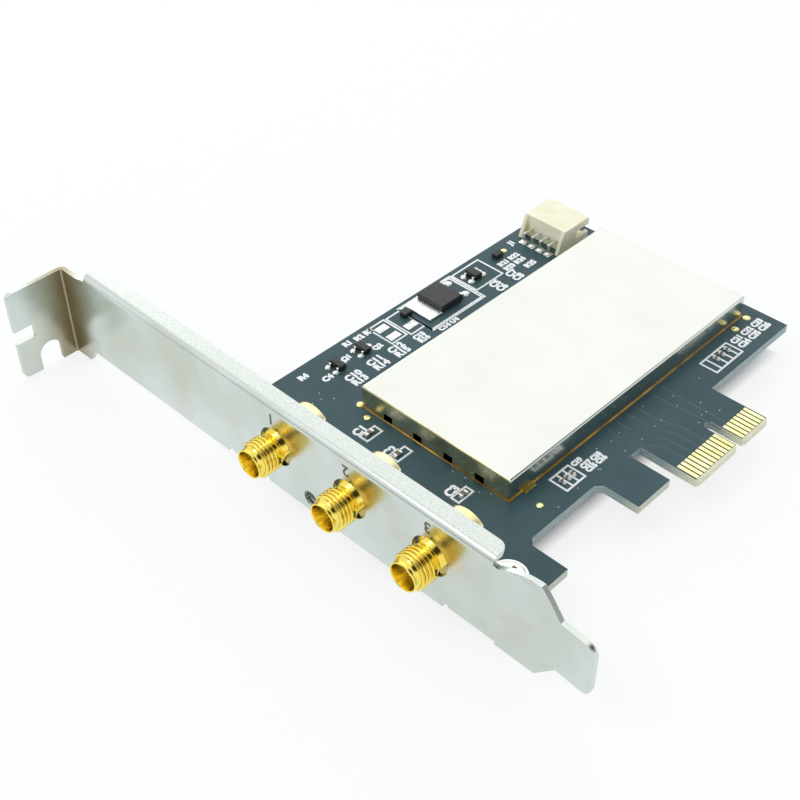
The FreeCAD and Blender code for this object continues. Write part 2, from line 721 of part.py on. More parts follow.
def make_board():
    key_left = f"{KEY_MIDDLE} - key_width / 2"
    key_right = f"{KEY_MIDDLE} + key_width / 2"
    key_shoulder = f"-({EDGE_LOW} - key_depth + key_width / 2)"
    blank = extrude("board_blank", "xy", EAR_TOP, "board_thick", [
        (BOARD_LEFT, f"-{BOARD_UPPER}"),
        (BOARD_LEFT, f"-{LEG_LOW}"),
        (RECESS_LEFT, f"-{LEG_LOW}"),
        (RECESS_LEFT, "-(board_base + recess_cut)"),
        (f"{RECESS_LEFT} + recess_cut", "-board_base"),
        (f"{RECESS_RIGHT} - recess_cut", "-board_base"),
        (RECESS_RIGHT, "-(board_base + recess_cut)"),
        (RECESS_RIGHT, f"-{LEG_LOW}"),
        (f"{RECESS_RIGHT} + leg_second_width", f"-{LEG_LOW}"),
        (f"{RECESS_RIGHT} + leg_second_width", "-board_base"),
        (EDGE_LEFT, "-board_base"),
        (EDGE_LEFT, f"-({EDGE_LOW} - edge_cut)"),
        (f"{EDGE_LEFT} + edge_cut", f"-{EDGE_LOW}"),
        (f"{key_left} - edge_cut", f"-{EDGE_LOW}"),
        (key_left, f"-({EDGE_LOW} - edge_cut)"),
        (key_left, key_shoulder, "-key_width / 2"),
        (KEY_MIDDLE, f"-({EDGE_LOW} - key_depth)", "-key_width / 2"),
        (key_right, key_shoulder),
        (key_right, f"-({EDGE_LOW} - edge_cut)"),
        (f"{key_right} + edge_cut", f"-{EDGE_LOW}"),
        (f"{EDGE_RIGHT} - edge_cut", f"-{EDGE_LOW}"),
        (EDGE_RIGHT, f"-({EDGE_LOW} - edge_cut)"),
        (EDGE_RIGHT, "-board_base"),
        ("board_reach", "-board_base"),
        ("board_reach", f"-{BOARD_UPPER}"),
    ])
    bevels = []
    for name, face, back in (("upper", BOARD_TOP, "-"), ("lower", EAR_TOP, "+")):
        bevels.append(extrude(f"bevel_{name}", "yz", EDGE_LEFT, f"{EDGE_RIGHT} - {EDGE_LEFT}", [
            (f"-{EDGE_LOW}", f"{face} {back} edge_bevel_drop"),
            (f"-{EDGE_LOW}", face),
            (f"-({EDGE_LOW} - edge_bevel_run)", face),
        ]))
    node("circuit_board", cut("circuit_board", blank, board_holes() + bevels))


def make_contacts():
    """Gold contacts on both faces of the edge, with the key slot left out."""
    for label, level in (
        ("edge_contacts_upper", BOARD_TOP), ("edge_contacts_lower", f"{EAR_TOP} - foil_thick"),
    ):
        contacts = []
        for number in range(CONTACTS_IN_ALL):
            step = number if number < CONTACTS_BEFORE_KEY else number + KEY_PITCHES
            low = (
                f"contact_first + {step} * contact_pitch - contact_width / 2",
                f"-({EDGE_LOW} - contact_setback)", level,
            )
            size = ("contact_width", "contact_length", "foil_thick")
            contacts.append(box(f"{label}_{number}", low, size))
        node(label, group(label, contacts))


def make_shield():
    """Folded can with solder notches and split corners, on a gold ring on the board."""
    shells = []
    for name, inset in (("outer", "0"), ("inner", "can_sheet")):
        low = (f"can_start + {inset}", f"{inset} - can_low", CAN_FLOOR)
        size = (f"can_length - 2 * {inset}", f"can_width - 2 * {inset}", f"can_height - {inset}")
        block = box(f"can_block_{name}", low, size)
        shells.append(eased_top("Fillet", f"can_{name}", block, f"can_bend - {inset}"))
    can = cut("can_shell", shells[0], shells[1:])
    tools = []
    for number in range(CAN_NOTCH_COUNT):
        offset = f"{number - (CAN_NOTCH_COUNT - 1) / 2} * can_notch_pitch"
        low = (
            "can_start - can_sheet", f"can_width / 2 - can_low + {offset} - can_notch_width / 2",
            CAN_FLOOR,
        )
        size = ("3 * can_sheet", "can_notch_width", "can_notch_height")
        tools.append(box(f"can_notch_{number}", low, size))
    for along in ("can_start", "can_start + can_length - can_slit"):
        for across in ("-can_low", "can_width - can_low - can_slit"):
            slit_height = "can_height - can_bend"
            low = (along, across, CAN_FLOOR)
            tools.append(box("can_slit", low, ("can_slit", "can_slit", slit_height)))
    node("shield_can", cut("shield_can", can, tools))
    frames = []
    for name, inset in (("outer", "-ring_margin"), ("inner", "(ring_width - ring_margin)")):
        low = (f"can_start + ({inset})", f"({inset}) - can_low", BOARD_TOP)
        size = (f"can_length - 2 * ({inset})", f"can_width - 2 * ({inset})", "foil_thick")
        frames.append(box(f"ring_{name}", low, size))
    tab_low = ("can_start + ring_tab_start", "-(can_low + ring_tab_reach)", BOARD_TOP)
    tab = box("ring_tab", tab_low, ("ring_tab_length", "ring_tab_reach", "foil_thick"))
    ring = cut("ring", frames[0], frames[1:])
    node("shield_ground_ring", joined("MultiFuse", "shield_ground_ring", [ring, tab]))


def chip_box(name, corner, level):
    """Box of a chip whose middle is given from a corner of the can or the board."""
    low = (
        f"{corner[0]} + {name}_along - {name}_length / 2",
        f"{corner[1]} + {name}_across - {name}_width / 2",
        level,
    )
    return box(name, low, (f"{name}_length", f"{name}_width", f"{name}_height"))


def upper_row_left(wanted):
    """Left end of a part along the upper edge: a gap after the part before it and its leads."""
    end = BOARD_LEFT
    for name in UPPER_ROW:
        before, after = ROW_REACH.get(name, ("0", "0"))
        left = f"({end} + {name}_gap + {before})"
        if name == wanted:
            return left
        end = f"({left} + {name}_length + {after})"
    raise KeyError(wanted)


def upper_row_box(name, stand):
    low = (
        upper_row_left(name),
        f"-({BOARD_UPPER} + {name}_below + {name}_width / 2)",
        f"{BOARD_TOP} + {stand}",
    )
    return box(name, low, (f"{name}_length", f"{name}_width", f"{name}_height"))


def make_chips():
    for name in CHIPS_UNDER_CAN:
        node(name, chip_box(name, CAN_CORNER, BOARD_TOP))
    for name in ANTENNA_CAPACITORS:
        node(name, chip_box(name, UPPER_CORNER, BOARD_TOP))
    for name in ("diode_first", "diode_second"):
        node(name, upper_row_box(name, "0"))


def make_capacitor_row(name, corner, count):
    row = []
    for number in range(count):
        low = (
            f"{corner[0]} + {name}_along + {number} * {name}_step - {name}_length / 2",
            f"{corner[1]} + {name}_across - {name}_width / 2",
            BOARD_TOP,
        )
        size = (f"{name}_length", f"{name}_width", f"{name}_height")
        row.append(box(f"{name}_{number}", low, size))
    node(name, group(name, row))


def make_pads():
    """Bare gold dots, and flat tinned pads of parts that are left off, on the upper face."""
    dots = []
    for name in GOLD_DOTS:
        corner = BASE_CORNER if name.startswith("dot_low") else UPPER_CORNER
        at = (f"{corner[0]} + {name}_along", f"{corner[1]} + {name}_across", BOARD_TOP)
        dots.append(cylinder(name, at, "z", f"{name}_radius", "foil_thick"))
    node("test_pads", group("test_pads", dots))
    pads = []
    pair_left = upper_row_left("pad_pair")
    third_left = f"{upper_row_left('diode_first')} - pad_shift"
    for number, (left, side) in enumerate(((pair_left, "+"), (pair_left, "-"), (third_left, "-"))):
        middle = f"-({BOARD_UPPER} + pad_pair_below) {side} pad_pitch / 2"
        low = (left, f"{middle} - pad_pair_width / 2", BOARD_TOP)
        pads.append(box(f"pad_{number}", low, ("pad_pair_length", "pad_pair_width", "foil_thick")))
    node("tinned_pads", group("tinned_pads", pads))


def lead(name, root, out, across, sizes):
    """Bent lead: a flat shoulder out of a body, a drop and a foot on the board."""
    width, reach, rise = sizes
    outer = f"{out}({reach} / 2 + lead_thick / 2)"
    inner = f"{out}({reach} / 2 - lead_thick / 2)"
    corners = [
        ("0", rise),
        ("0", f"{rise} + lead_thick"),
        (outer, f"{rise} + lead_thick"),
        (outer, "lead_thick"),
        (f"{out}{reach}", "lead_thick"),
        (f"{out}{reach}", "0"),
        (inner, "0"),
        (inner, rise),
    ]
    item = extrude(name, "xz", "0", width, corners)
    return place(item, (root, f"{across} - {width} / 2", BOARD_TOP))


def make_small_packages():
    """Three small moulded packages, each on bent leads along both sides."""
    sizes = ("lead_width", "lead_reach", "lead_rise")
    rows = {
        "transistor_first": ((-1, ("-0.5", "0.5")), (1, ("0",))),
        "transistor_second": ((-1, ("-0.5", "0.5")), (1, ("0",))),
        "load_switch": ((-1, ("-0.5", "0.5")), (1, ("-0.5", "0", "0.5"))),
    }
    for name, sides in rows.items():
        leads = []
        for side, offsets in sides:
            root = upper_row_left(name) if side < 0 else f"{upper_row_left(name)} + {name}_length"
            for number, offset in enumerate(offsets):
                across = f"{offset} * lead_pitch - {BOARD_UPPER} - {name}_below"
                out = "-" if side < 0 else ""
                leads.append(lead(f"{name}_lead_{side + 1}_{number}", root, out, across, sizes))
        node(name + "_leads", group(name + "_leads", leads))
        node(name, upper_row_box(name, "small_chip_stand"))


def make_regulator():
    """Flat power package: moulded body, soldered heat tab on one side, two leads on the other."""
    middle = f"-({BOARD_UPPER} + regulator_below)"
    left = upper_row_left("regulator")
    sizes = ("regulator_lead_width", "regulator_lead_reach", "regulator_lead_rise")
    leads = []
    for number, side in enumerate((-0.5, 0.5)):
        across = f"{middle} + {side} * regulator_lead_pitch"
        root = f"{left} + regulator_length"
        leads.append(lead(f"regulator_lead_{number}", root, "", across, sizes))
    node("regulator_leads", group("regulator_leads", leads))
    tab_low = (f"{left} - regulator_tab_reach", f"{middle} - regulator_tab_width / 2", BOARD_TOP)
    tab_size = ("regulator_tab_reach", "regulator_tab_width", "regulator_tab_thick")
    node("regulator_tab", box("regulator_tab", tab_low, tab_size))
    node("regulator", upper_row_box("regulator", "0"))


def make_header():
    """Side-entry cable header: hollow housing with sloped ears at its back, bent pins, pads."""
    low_side = f"-{HEADER_LOW}"
    pin_level = f"{BOARD_TOP} + header_pin_height"
    block = box(
        "header_block", ("header_start", low_side, BOARD_TOP),
        ("header_length", "header_width", "header_height"),
    )
    hollow = box(
        "header_hollow",
        ("header_start + header_back", f"{low_side} + header_wall", f"{BOARD_TOP} + header_wall"),
        (
            "header_length - header_back", "header_width - 2 * header_wall",
            "header_height - 2 * header_wall",
        ),
    )
    ears = [
        extrude(f"header_ear_{number}", "xz", f"{low_side} + {offset}", "header_wall", [
            ("header_start", BOARD_TOP),
            ("header_start", f"{BOARD_TOP} + header_height"),
            ("header_start - header_ear_reach", f"{BOARD_TOP} + header_ear_foot"),
            ("header_start - header_ear_reach", BOARD_TOP),
        ])
        for number, offset in enumerate(("0", "header_width - header_wall"))
    ]
    slots = [
        box(
            f"header_slot_{number}",
            (
                "header_start + header_length / 2",
                f"{low_side} + {number} * (header_width - header_wall)",
                f"{BOARD_TOP} + header_height / 2 - header_slot / 2",
            ),
            ("header_length / 2", "header_wall", "header_slot"),
        )
        for number in range(2)
    ]
    pins = []
    pads = []
    ways = []
    half = "header_pin_side / 2"
    tip = "header_start + header_length - header_pin_front"
    for number in range(HEADER_PIN_COUNT):
        middle = header_pin_middle(number)
        for made, word in ((pins, "pin"), (ways, "way")):
            level = f"{middle} - {half}"
            made.append(extrude(f"header_{word}_{number}", "xz", level, "header_pin_side", [
                (f"{HEADER_COLUMN} - {half}", f"{EAR_TOP} - lead_end"),
                (f"{HEADER_COLUMN} + {half}", f"{EAR_TOP} - lead_end"),
                (f"{HEADER_COLUMN} + {half}", f"{pin_level} - {half}"),
                (tip, f"{pin_level} - {half}"),
                (tip, f"{pin_level} + {half}"),
                (f"{HEADER_COLUMN} - {half}", f"{pin_level} + {half}"),
            ]))
        pad_low = (
            f"{HEADER_COLUMN} - header_pad_side / 2", f"{middle} - header_pad_side / 2", BOARD_TOP,
        )
        pad = box(f"header_pad_{number}", pad_low, ("header_pad_side", "header_pad_side", "foil_thick"))
        gap = f"({half} + lead_gap)"
        hole_low = (f"{HEADER_COLUMN} - {gap}", f"{middle} - {gap}", BOARD_TOP)
        hole = box(f"header_pad_hole_{number}", hole_low, (f"2 * {gap}", f"2 * {gap}", "foil_thick"))
        pads.append(cut(f"header_ring_{number}", pad, [hole]))
    blank = joined("MultiFuse", "header_blank", [block, *ears])
    node("header_housing", cut("header_housing", blank, [hollow, *slots, *ways]))
    node("header_pins", group("header_pins", pins))
    node("header_pads", group("header_pads", pads))


def export_nodes():
    """Check every object and shape, then write one file for each piece."""
    doc.recompute()
    for item in doc.Objects:
        if {"Invalid", "Error"} & set(item.State):
            raise RuntimeError(f"{item.Name} failed: {item.State}")
    os.makedirs("parts", exist_ok=True)
    for item in nodes:
        if item.Shape.isNull() or not item.Shape.isValid():
            raise RuntimeError(f"{item.Label} has a bad shape")
        item.Shape.exportStep(f"parts/{item.Label}.step")


fill_sheet()
make_bracket()
make_screws()
for port in range(PORT_COUNT):
    make_jack(port)
make_board()
make_contacts()
make_shield()
make_chips()
make_capacitor_row("coupling_capacitors_first", BASE_CORNER, COUPLING_COUNT)
make_capacitor_row("coupling_capacitors_second", BASE_CORNER, COUPLING_COUNT)
make_capacitor_row("decoupling_capacitors", CHIP_CORNER, DECOUPLING_COUNT)
make_pads()
make_small_packages()
make_regulator()
make_header()
export_nodes()
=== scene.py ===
"""Looks of a wireless network card: slot bracket, board, antenna jacks, shield can, small parts."""
import json
import math
import random

import bmesh
import bpy
from mathutils import Matrix, Vector

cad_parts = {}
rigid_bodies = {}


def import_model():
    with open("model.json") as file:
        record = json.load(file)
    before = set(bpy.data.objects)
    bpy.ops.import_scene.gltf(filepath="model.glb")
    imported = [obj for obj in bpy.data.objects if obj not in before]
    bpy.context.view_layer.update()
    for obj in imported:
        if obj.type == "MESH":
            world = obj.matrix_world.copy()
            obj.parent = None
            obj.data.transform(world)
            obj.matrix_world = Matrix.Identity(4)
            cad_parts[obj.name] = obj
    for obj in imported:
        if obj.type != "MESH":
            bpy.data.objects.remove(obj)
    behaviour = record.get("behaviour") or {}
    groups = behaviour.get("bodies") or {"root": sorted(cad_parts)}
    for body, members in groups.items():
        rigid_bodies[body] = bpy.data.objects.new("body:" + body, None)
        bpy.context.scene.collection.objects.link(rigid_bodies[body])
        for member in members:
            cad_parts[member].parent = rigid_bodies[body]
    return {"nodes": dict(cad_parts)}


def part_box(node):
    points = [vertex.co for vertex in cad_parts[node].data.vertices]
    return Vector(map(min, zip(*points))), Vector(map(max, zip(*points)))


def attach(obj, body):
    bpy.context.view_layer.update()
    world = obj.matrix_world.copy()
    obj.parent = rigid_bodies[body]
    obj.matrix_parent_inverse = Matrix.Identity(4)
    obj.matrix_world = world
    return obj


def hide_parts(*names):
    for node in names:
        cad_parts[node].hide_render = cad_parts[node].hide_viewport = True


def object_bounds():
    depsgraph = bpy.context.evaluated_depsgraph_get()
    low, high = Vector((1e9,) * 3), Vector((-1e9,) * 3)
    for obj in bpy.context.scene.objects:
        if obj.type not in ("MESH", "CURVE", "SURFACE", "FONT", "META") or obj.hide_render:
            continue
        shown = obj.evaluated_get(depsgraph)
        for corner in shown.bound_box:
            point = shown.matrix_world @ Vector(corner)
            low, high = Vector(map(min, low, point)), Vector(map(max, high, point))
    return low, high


for leftover in list(bpy.data.objects):
    bpy.data.objects.remove(leftover)
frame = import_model()
CAD_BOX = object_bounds()

MM = 0.001
BOARD_LOW, BOARD_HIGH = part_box("circuit_board")
BOARD_TOP = BOARD_HIGH.z
BRACKET_LOW, BRACKET_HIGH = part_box("bracket")
# millimetres that a jack stands out from the bracket's face, and that the tab hangs below its edge
JACK_REACH = 5.65
TAB_DROP = 2.97
FACE_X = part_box("antenna_jack_1")[0].x + JACK_REACH * MM
FACE_LOW = BRACKET_LOW.z + TAB_DROP * MM
TAB_Y = BRACKET_HIGH.y
PORTS = ("1", "2", "3")


def card(x, y, lift=0.0):
    """Point over the board from millimetres inward from the bracket's face and along from its tab."""
    return Vector((FACE_X + x * MM, TAB_Y + y * MM, BOARD_TOP + lift * MM))


def on_face(y, z):
    """Point on the bracket's outer face from millimetres along from the tab and up from its edge."""
    return Vector((FACE_X, TAB_Y + y * MM, FACE_LOW + z * MM))


# Materials


def linear(hex_colour):
    """sRGB hex colour as linear red, green, blue, alpha."""
    parts = [int(hex_colour[i:i + 2], 16) / 255 for i in (1, 3, 5)]
    return [p / 12.92 if p <= 0.04045 else ((p + 0.055) / 1.055) ** 2.4 for p in parts] + [1.0]


def per(size_mm):
    """Texture scale on Object coordinates for a pattern of that size in millimetres."""
    return 1 / (size_mm * MM)


def add(tree, kind, inputs=None, output=None, **settings):
    """Add a node with its settings, fill its sockets with values or links, and return an output."""
    node = tree.nodes.new(kind)
    for name, value in settings.items():
        setattr(node, name, value)
    sockets = [socket for socket in node.inputs if socket.enabled]
    for name, value in (inputs or {}).items():
        socket = next(s for i, s in enumerate(sockets) if name in (i, s.name))
        if isinstance(value, bpy.types.NodeSocket):
            tree.links.new(value, socket)
        else:
            socket.default_value = value
    outputs = [socket for socket in node.outputs if socket.enabled]
    return next((s for s in outputs if output in (None, s.name)), None)


def start_material(name):
    material = bpy.data.materials.new(name)
    material.use_nodes = True
    material.node_tree.nodes.clear()
    spot = add(material.node_tree, "ShaderNodeTexCoord", output="Object")
    return material, material.node_tree, spot


def end_material(tree, inputs):
    surface = add(tree, "ShaderNodeBsdfPrincipled", inputs)
    add(tree, "ShaderNodeOutputMaterial", {"Surface": surface})


# the middle part of a noise pattern that its colours, and its roughness, spread over
COLOUR_RANGE = (0.35, 0.65)
GRAIN_RANGE = (0.3, 0.7)


def blend(tree, factor, low, high):
    """Colour between two hex colours, or between outputs, along a pattern."""
    share = add(tree, "ShaderNodeMapRange", {
        "Value": factor, "From Min": COLOUR_RANGE[0], "From Max": COLOUR_RANGE[1],
    })
    ends = [linear(c) if isinstance(c, str) else c for c in (low, high)]
    return add(tree, "ShaderNodeMix", {"Factor": share, "A": ends[0], "B": ends[1]}, data_type="RGBA")


def patterned(name, colours, roughness, grain_mm, blotch_mm, bump_mm, stretch=(1, 1, 1), **sockets):
    """Material with slow blotches in its colour and fine grain in its roughness and relief."""
    material, tree, spot = start_material(name)
    laid = add(tree, "ShaderNodeMapping", {"Vector": spot, "Scale": stretch})
    blotch = add(tree, "ShaderNodeTexNoise", {"Vector": spot, "Scale": per(blotch_mm), "Detail": 3.0})
    grain = add(tree, "ShaderNodeTexNoise", {"Vector": laid, "Scale": per(grain_mm), "Detail": 2.0})
    rough = add(tree, "ShaderNodeMapRange", {
        "Value": grain, "From Min": GRAIN_RANGE[0], "From Max": GRAIN_RANGE[1],
        "To Min": roughness[0], "To Max": roughness[1],
    })
    relief = add(tree, "ShaderNodeBump", {"Height": grain, "Distance": bump_mm * MM, "Strength": 1.0})
    end_material(tree, {
        "Base Color": blend(tree, blotch, *colours), "Roughness": rough, "Normal": relief, **sockets,
    })
    return material


# tin-plated can sheet: bright and even, with slow waves from pressing
TIN_SHEET = patterned(
    "tin_plated_sheet", ("#DADDD6", "#DEE1DA"), (0.18, 0.25),
    grain_mm=6.0, blotch_mm=14, bump_mm=0.004, Metallic=1.0,
)
# the can's end walls: the same tin, duller, and written yellower as a painted reflection of the parts round
# them
WALL_TIN_PAINTED_REFLECTION = patterned(
    "tin_wall_painted_reflection", ("#D6CEA6", "#EAE4C8"), (0.26, 0.38),
    grain_mm=0.8, blotch_mm=4.0, bump_mm=0.003, Metallic=1.0,
)
# solder and tinned leads: near white, small lumps
BRIGHT_TIN = patterned(
    "tinned_solder", ("#E6E7E5", "#F6F6F3"), (0.24, 0.38),
    grain_mm=0.35, blotch_mm=1.2, bump_mm=0.010, Metallic=1.0,
)
# polished gold over turned brass: warm yellow, turning marks round the axis drawn coarse enough to show
GOLD_PLATE = patterned(
    "gold_plated_brass", ("#F6D95A", "#FCE878"), (0.09, 0.16),
    grain_mm=0.30, blotch_mm=2.0, bump_mm=0.002, stretch=(3, 1, 1), Metallic=1.0,
)
# gold on the cast blocks, written pale cream as a painted highlight, softer than the turned barrels
BLOCK_GOLD_PAINTED_HIGHLIGHT = patterned(
    "block_gold_painted_highlight", ("#FAEDA6", "#FDF6C6"), (0.22, 0.30),
    grain_mm=0.60, blotch_mm=2.5, bump_mm=0.0015, Metallic=1.0,
)
# satin gold of the bores: written paler, because light bounces many times down a bore and deepens
BORE_GOLD = patterned(
    "satin_gold_bore", ("#FFE878", "#FFF092"), (0.16, 0.24),
    grain_mm=0.20, blotch_mm=1.5, bump_mm=0.001, stretch=(3, 1, 1), Metallic=1.0,
)
# hard gold on copper foil: paler and more even than the jacks
CONTACT_GOLD = patterned(
    "hard_gold_contacts", ("#FBEC9E", "#FFF6C0"), (0.20, 0.32),
    grain_mm=0.25, blotch_mm=1.5, bump_mm=0.004, Metallic=1.0,
)
# thin gold over the ring's copper, written dark and red-brown: painted shade where the ring lies at the
# can's foot
RING_GOLD_PAINTED_SHADE = patterned(
    "ring_gold_painted_shade", ("#8E6A28", "#C49A40"), (0.26, 0.40),
    grain_mm=0.25, blotch_mm=3.0, bump_mm=0.004, Metallic=1.0,
)
# epoxy moulding: charcoal with a sandy skin drawn coarse enough to show
EPOXY = patterned(
    "black_epoxy_moulding", ("#1C2023", "#2B3033"), (0.34, 0.50),
    grain_mm=0.12, blotch_mm=1.0, bump_mm=0.008,
)
# nylon header: cream, slightly waxy
NYLON = patterned(
    "cream_nylon", ("#F4F0CC", "#FBF8E2"), (0.38, 0.52),
    grain_mm=0.35, blotch_mm=3.0, bump_mm=0.008,
)
# fired ceramic of the small capacitors: grey-brown, matt
CERAMIC = patterned(
    "fired_ceramic", ("#6F675A", "#8B8070"), (0.35, 0.50),
    grain_mm=0.10, blotch_mm=0.5, bump_mm=0.004,
)
# fluoropolymer insulator of the jacks: waxy white
FLUOROPOLYMER = patterned(
    "white_fluoropolymer", ("#EDEBE4", "#F7F6F1"), (0.35, 0.45),
    grain_mm=0.2, blotch_mm=1.5, bump_mm=0.004,
)
# printed legend ink: white with a breath of blue where it lies thin over the mask
LEGEND_INK = patterned(
    "white_legend_ink", ("#F0F9FC", "#FFFFFF"), (0.45, 0.60),
    grain_mm=0.08, blotch_mm=0.30, bump_mm=0.004,
)
# numerals etched on the bracket: dull dark olive, without the plating's shine
STAMP = patterned(
    "etched_numerals", ("#4A4A3C", "#6A6A58"), (0.40, 0.55),
    grain_mm=0.08, blotch_mm=0.4, bump_mm=0.004,
)
# mask over copper: a shade lighter than the bare mask
TRACK_MASK = patterned(
    "mask_over_copper", ("#365258", "#3B575D"), (0.32, 0.40),
    grain_mm=0.4, blotch_mm=2.0, bump_mm=0.003,
)

# nickel sheet: millimetres of its rolled grain, drawn coarse enough to show, clouds, haze and speckle
ROLLED_GRAIN = 0.35
ROLLED_STRETCH = (1, 0.06, 1)
ROLLED_RELIEF = 0.0006
CLOUD_SIZE = 20
HAZE_SIZE = 8
SPECKLE_SIZE = 0.32
STRAW_SHARE = 0.4
# height over the face's edge where the grainy flange is reached, and the fade below it
FLANGE_LEVEL = 17.15
FLANGE_FADE = 0.1
# painted reflection of each gold jack in the plate, a warm tint beside it on the face: its place from the
# pin, how thin a skin it is, its reach and its strength
JACK_REFLECTION_SIDE = 3.3
JACK_REFLECTION_RISE = 2.8
JACK_REFLECTION_SKIN = 6.0
JACK_REFLECTION_CORE = 1.5
JACK_REFLECTION_END = 4.2
JACK_REFLECTION_SHARE = 0.65
# brown painted shade by the fold: millimetres from the fold where it is full and where it ends, and how its
# edge wanders
FOLD_SHADE_CORE = 3.5
FOLD_SHADE_END = 13
FOLD_SHADE_WANDER = 6


def make_nickel():
    """Nickel-plated sheet: satin, clouded blue and straw, grainy flange, with brown painted shade by the
    fold and a warm painted reflection beside each jack.
    """
    material, tree, spot = start_material("nickel_plated_steel")
    rolled = add(tree, "ShaderNodeMapping", {"Vector": spot, "Scale": ROLLED_STRETCH})
    grain = add(tree, "ShaderNodeTexNoise", {"Vector": rolled, "Scale": per(ROLLED_GRAIN), "Detail": 2.0})
    cloud = add(tree, "ShaderNodeTexNoise", {"Vector": spot, "Scale": per(CLOUD_SIZE), "Detail": 3.0})
    haze = add(tree, "ShaderNodeTexNoise", {"Vector": spot, "Scale": per(HAZE_SIZE), "Detail": 2.0})
    speckle = add(tree, "ShaderNodeTexNoise", {
        "Vector": spot, "Scale": per(SPECKLE_SIZE), "Detail": 2.0,
    })
    tone = blend(tree, cloud, "#C8D2C8", "#DAE4E2")
    straw = add(tree, "ShaderNodeMapRange", {
        "Value": haze, "From Min": 0.5, "From Max": 0.8, "To Min": 0.0, "To Max": STRAW_SHARE,
    })
    tone = add(tree, "ShaderNodeMix", {
        "Factor": straw, "A": tone, "B": linear("#CBC2A8"),
    }, data_type="RGBA")
    height = add(tree, "ShaderNodeSeparateXYZ", {"Vector": spot}, output="Z")
    on_flange = add(tree, "ShaderNodeMapRange", {
        "Value": height, "From Min": FACE_LOW + (FLANGE_LEVEL - FLANGE_FADE) * MM,
        "From Max": FACE_LOW + FLANGE_LEVEL * MM,
    })
    tone = add(tree, "ShaderNodeMix", {
        "Factor": on_flange, "A": tone, "B": blend(tree, speckle, "#C6CEC8", "#D5DBD7"),
    }, data_type="RGBA")
    # each jack's warm tint is painted on: a painted reflection of its gold in the plate
    for port in PORTS:
        low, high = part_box("jack_pin_" + port)
        by_port = add(tree, "ShaderNodeMapping", {
            "Vector": spot, "Scale": (JACK_REFLECTION_SKIN, 1, 1),
            "Location": (-JACK_REFLECTION_SKIN * FACE_X, JACK_REFLECTION_SIDE * MM - high.y, -high.z - JACK_REFLECTION_RISE * MM),
        })
        apart = add(tree, "ShaderNodeVectorMath", {0: by_port}, output="Value", operation="LENGTH")
        painted_reflection = add(tree, "ShaderNodeMapRange", {
            "Value": apart, "From Min": JACK_REFLECTION_CORE * MM, "From Max": JACK_REFLECTION_END * MM,
            "To Min": JACK_REFLECTION_SHARE, "To Max": 0.0,
        }, interpolation_type="SMOOTHSTEP")
        tone = add(tree, "ShaderNodeMix", {
            "Factor": painted_reflection, "A": tone, "B": linear("#E4C89C"),
        }, data_type="RGBA")
    # brown painted shade, darker towards the corner where the face folds into the tab
    from_fold = add(tree, "ShaderNodeMapping", {
        "Vector": spot, "Location": (-FACE_X, -TAB_Y, 0), "Scale": (1, 1, 0),
    })
    reach = add(tree, "ShaderNodeVectorMath", {0: from_fold}, output="Value", operation="LENGTH")
    uneven = add(tree, "ShaderNodeMath", {
        0: haze, 1: FOLD_SHADE_WANDER * MM, 2: reach,
    }, operation="MULTIPLY_ADD")
    fold_shade = add(tree, "ShaderNodeMapRange", {
        "Value": uneven, "From Min": FOLD_SHADE_CORE * MM, "From Max": FOLD_SHADE_END * MM,
        "To Min": 1.0, "To Max": 0.0,
    }, interpolation_type="SMOOTHSTEP")
    with_fold_shade = add(tree, "ShaderNodeMix", {
        "Factor": fold_shade, "A": tone, "B": linear("#998F74"),
    }, data_type="RGBA")
    rough = add(tree, "ShaderNodeMapRange", {"Value": grain, "To Min": 0.20, "To Max": 0.30})
    relief = add(tree, "ShaderNodeBump", {
        "Height": grain, "Distance": ROLLED_RELIEF * MM, "Strength": 1.0,
    })
    end_material(tree, {"Base Color": with_fold_shade, "Roughness": rough, "Normal": relief, "Metallic": 1.0})
    return material


# slate mask: millimetres of the glass weave under it, drawn coarse enough to show, its clouds and skin
WEAVE_PITCH = 2.0
MASK_CLOUD = 9.0
MASK_SKIN = 0.3
MASK_RELIEF = 0.005


def make_mask():
    """Slate solder mask: satin skin over woven glass, whose weave just shows."""
    material, tree, spot = start_material("slate_solder_mask")
    weave = add(tree, "ShaderNodeTexBrick", {
        "Vector": spot, "Color1": linear("#344F55"), "Color2": linear("#38545A"),
        "Mortar": linear("#314B51"), "Scale": per(WEAVE_PITCH), "Mortar Size": 0.05, "Mortar Smooth": 1.0,
    }, output="Color")
    cloud = add(tree, "ShaderNodeTexNoise", {"Vector": spot, "Scale": per(MASK_CLOUD), "Detail": 4.0})
    skin = add(tree, "ShaderNodeTexNoise", {"Vector": spot, "Scale": per(MASK_SKIN), "Detail": 2.0})
    rough = add(tree, "ShaderNodeMapRange", {"Value": skin, "To Min": 0.30, "To Max": 0.42})
    relief = add(tree, "ShaderNodeBump", {
        "Height": skin, "Distance": MASK_RELIEF * MM, "Strength": 1.0,
    })
    end_material(tree, {
        "Base Color": blend(tree, cloud, weave, linear("#3C585E")), "Roughness": rough, "Normal": relief,
        "Specular IOR Level": 0.25,
    })
    return material


# board edge: millimetres of its glass layers and fibres, drawn coarse enough to show, and the distance
# from the tab over which the bare cream of the edge connector sets in
LAYER_PITCH = 2.2
FIBRE_SIZE = 0.25
BARE_START = 100
BARE_FULL = 106


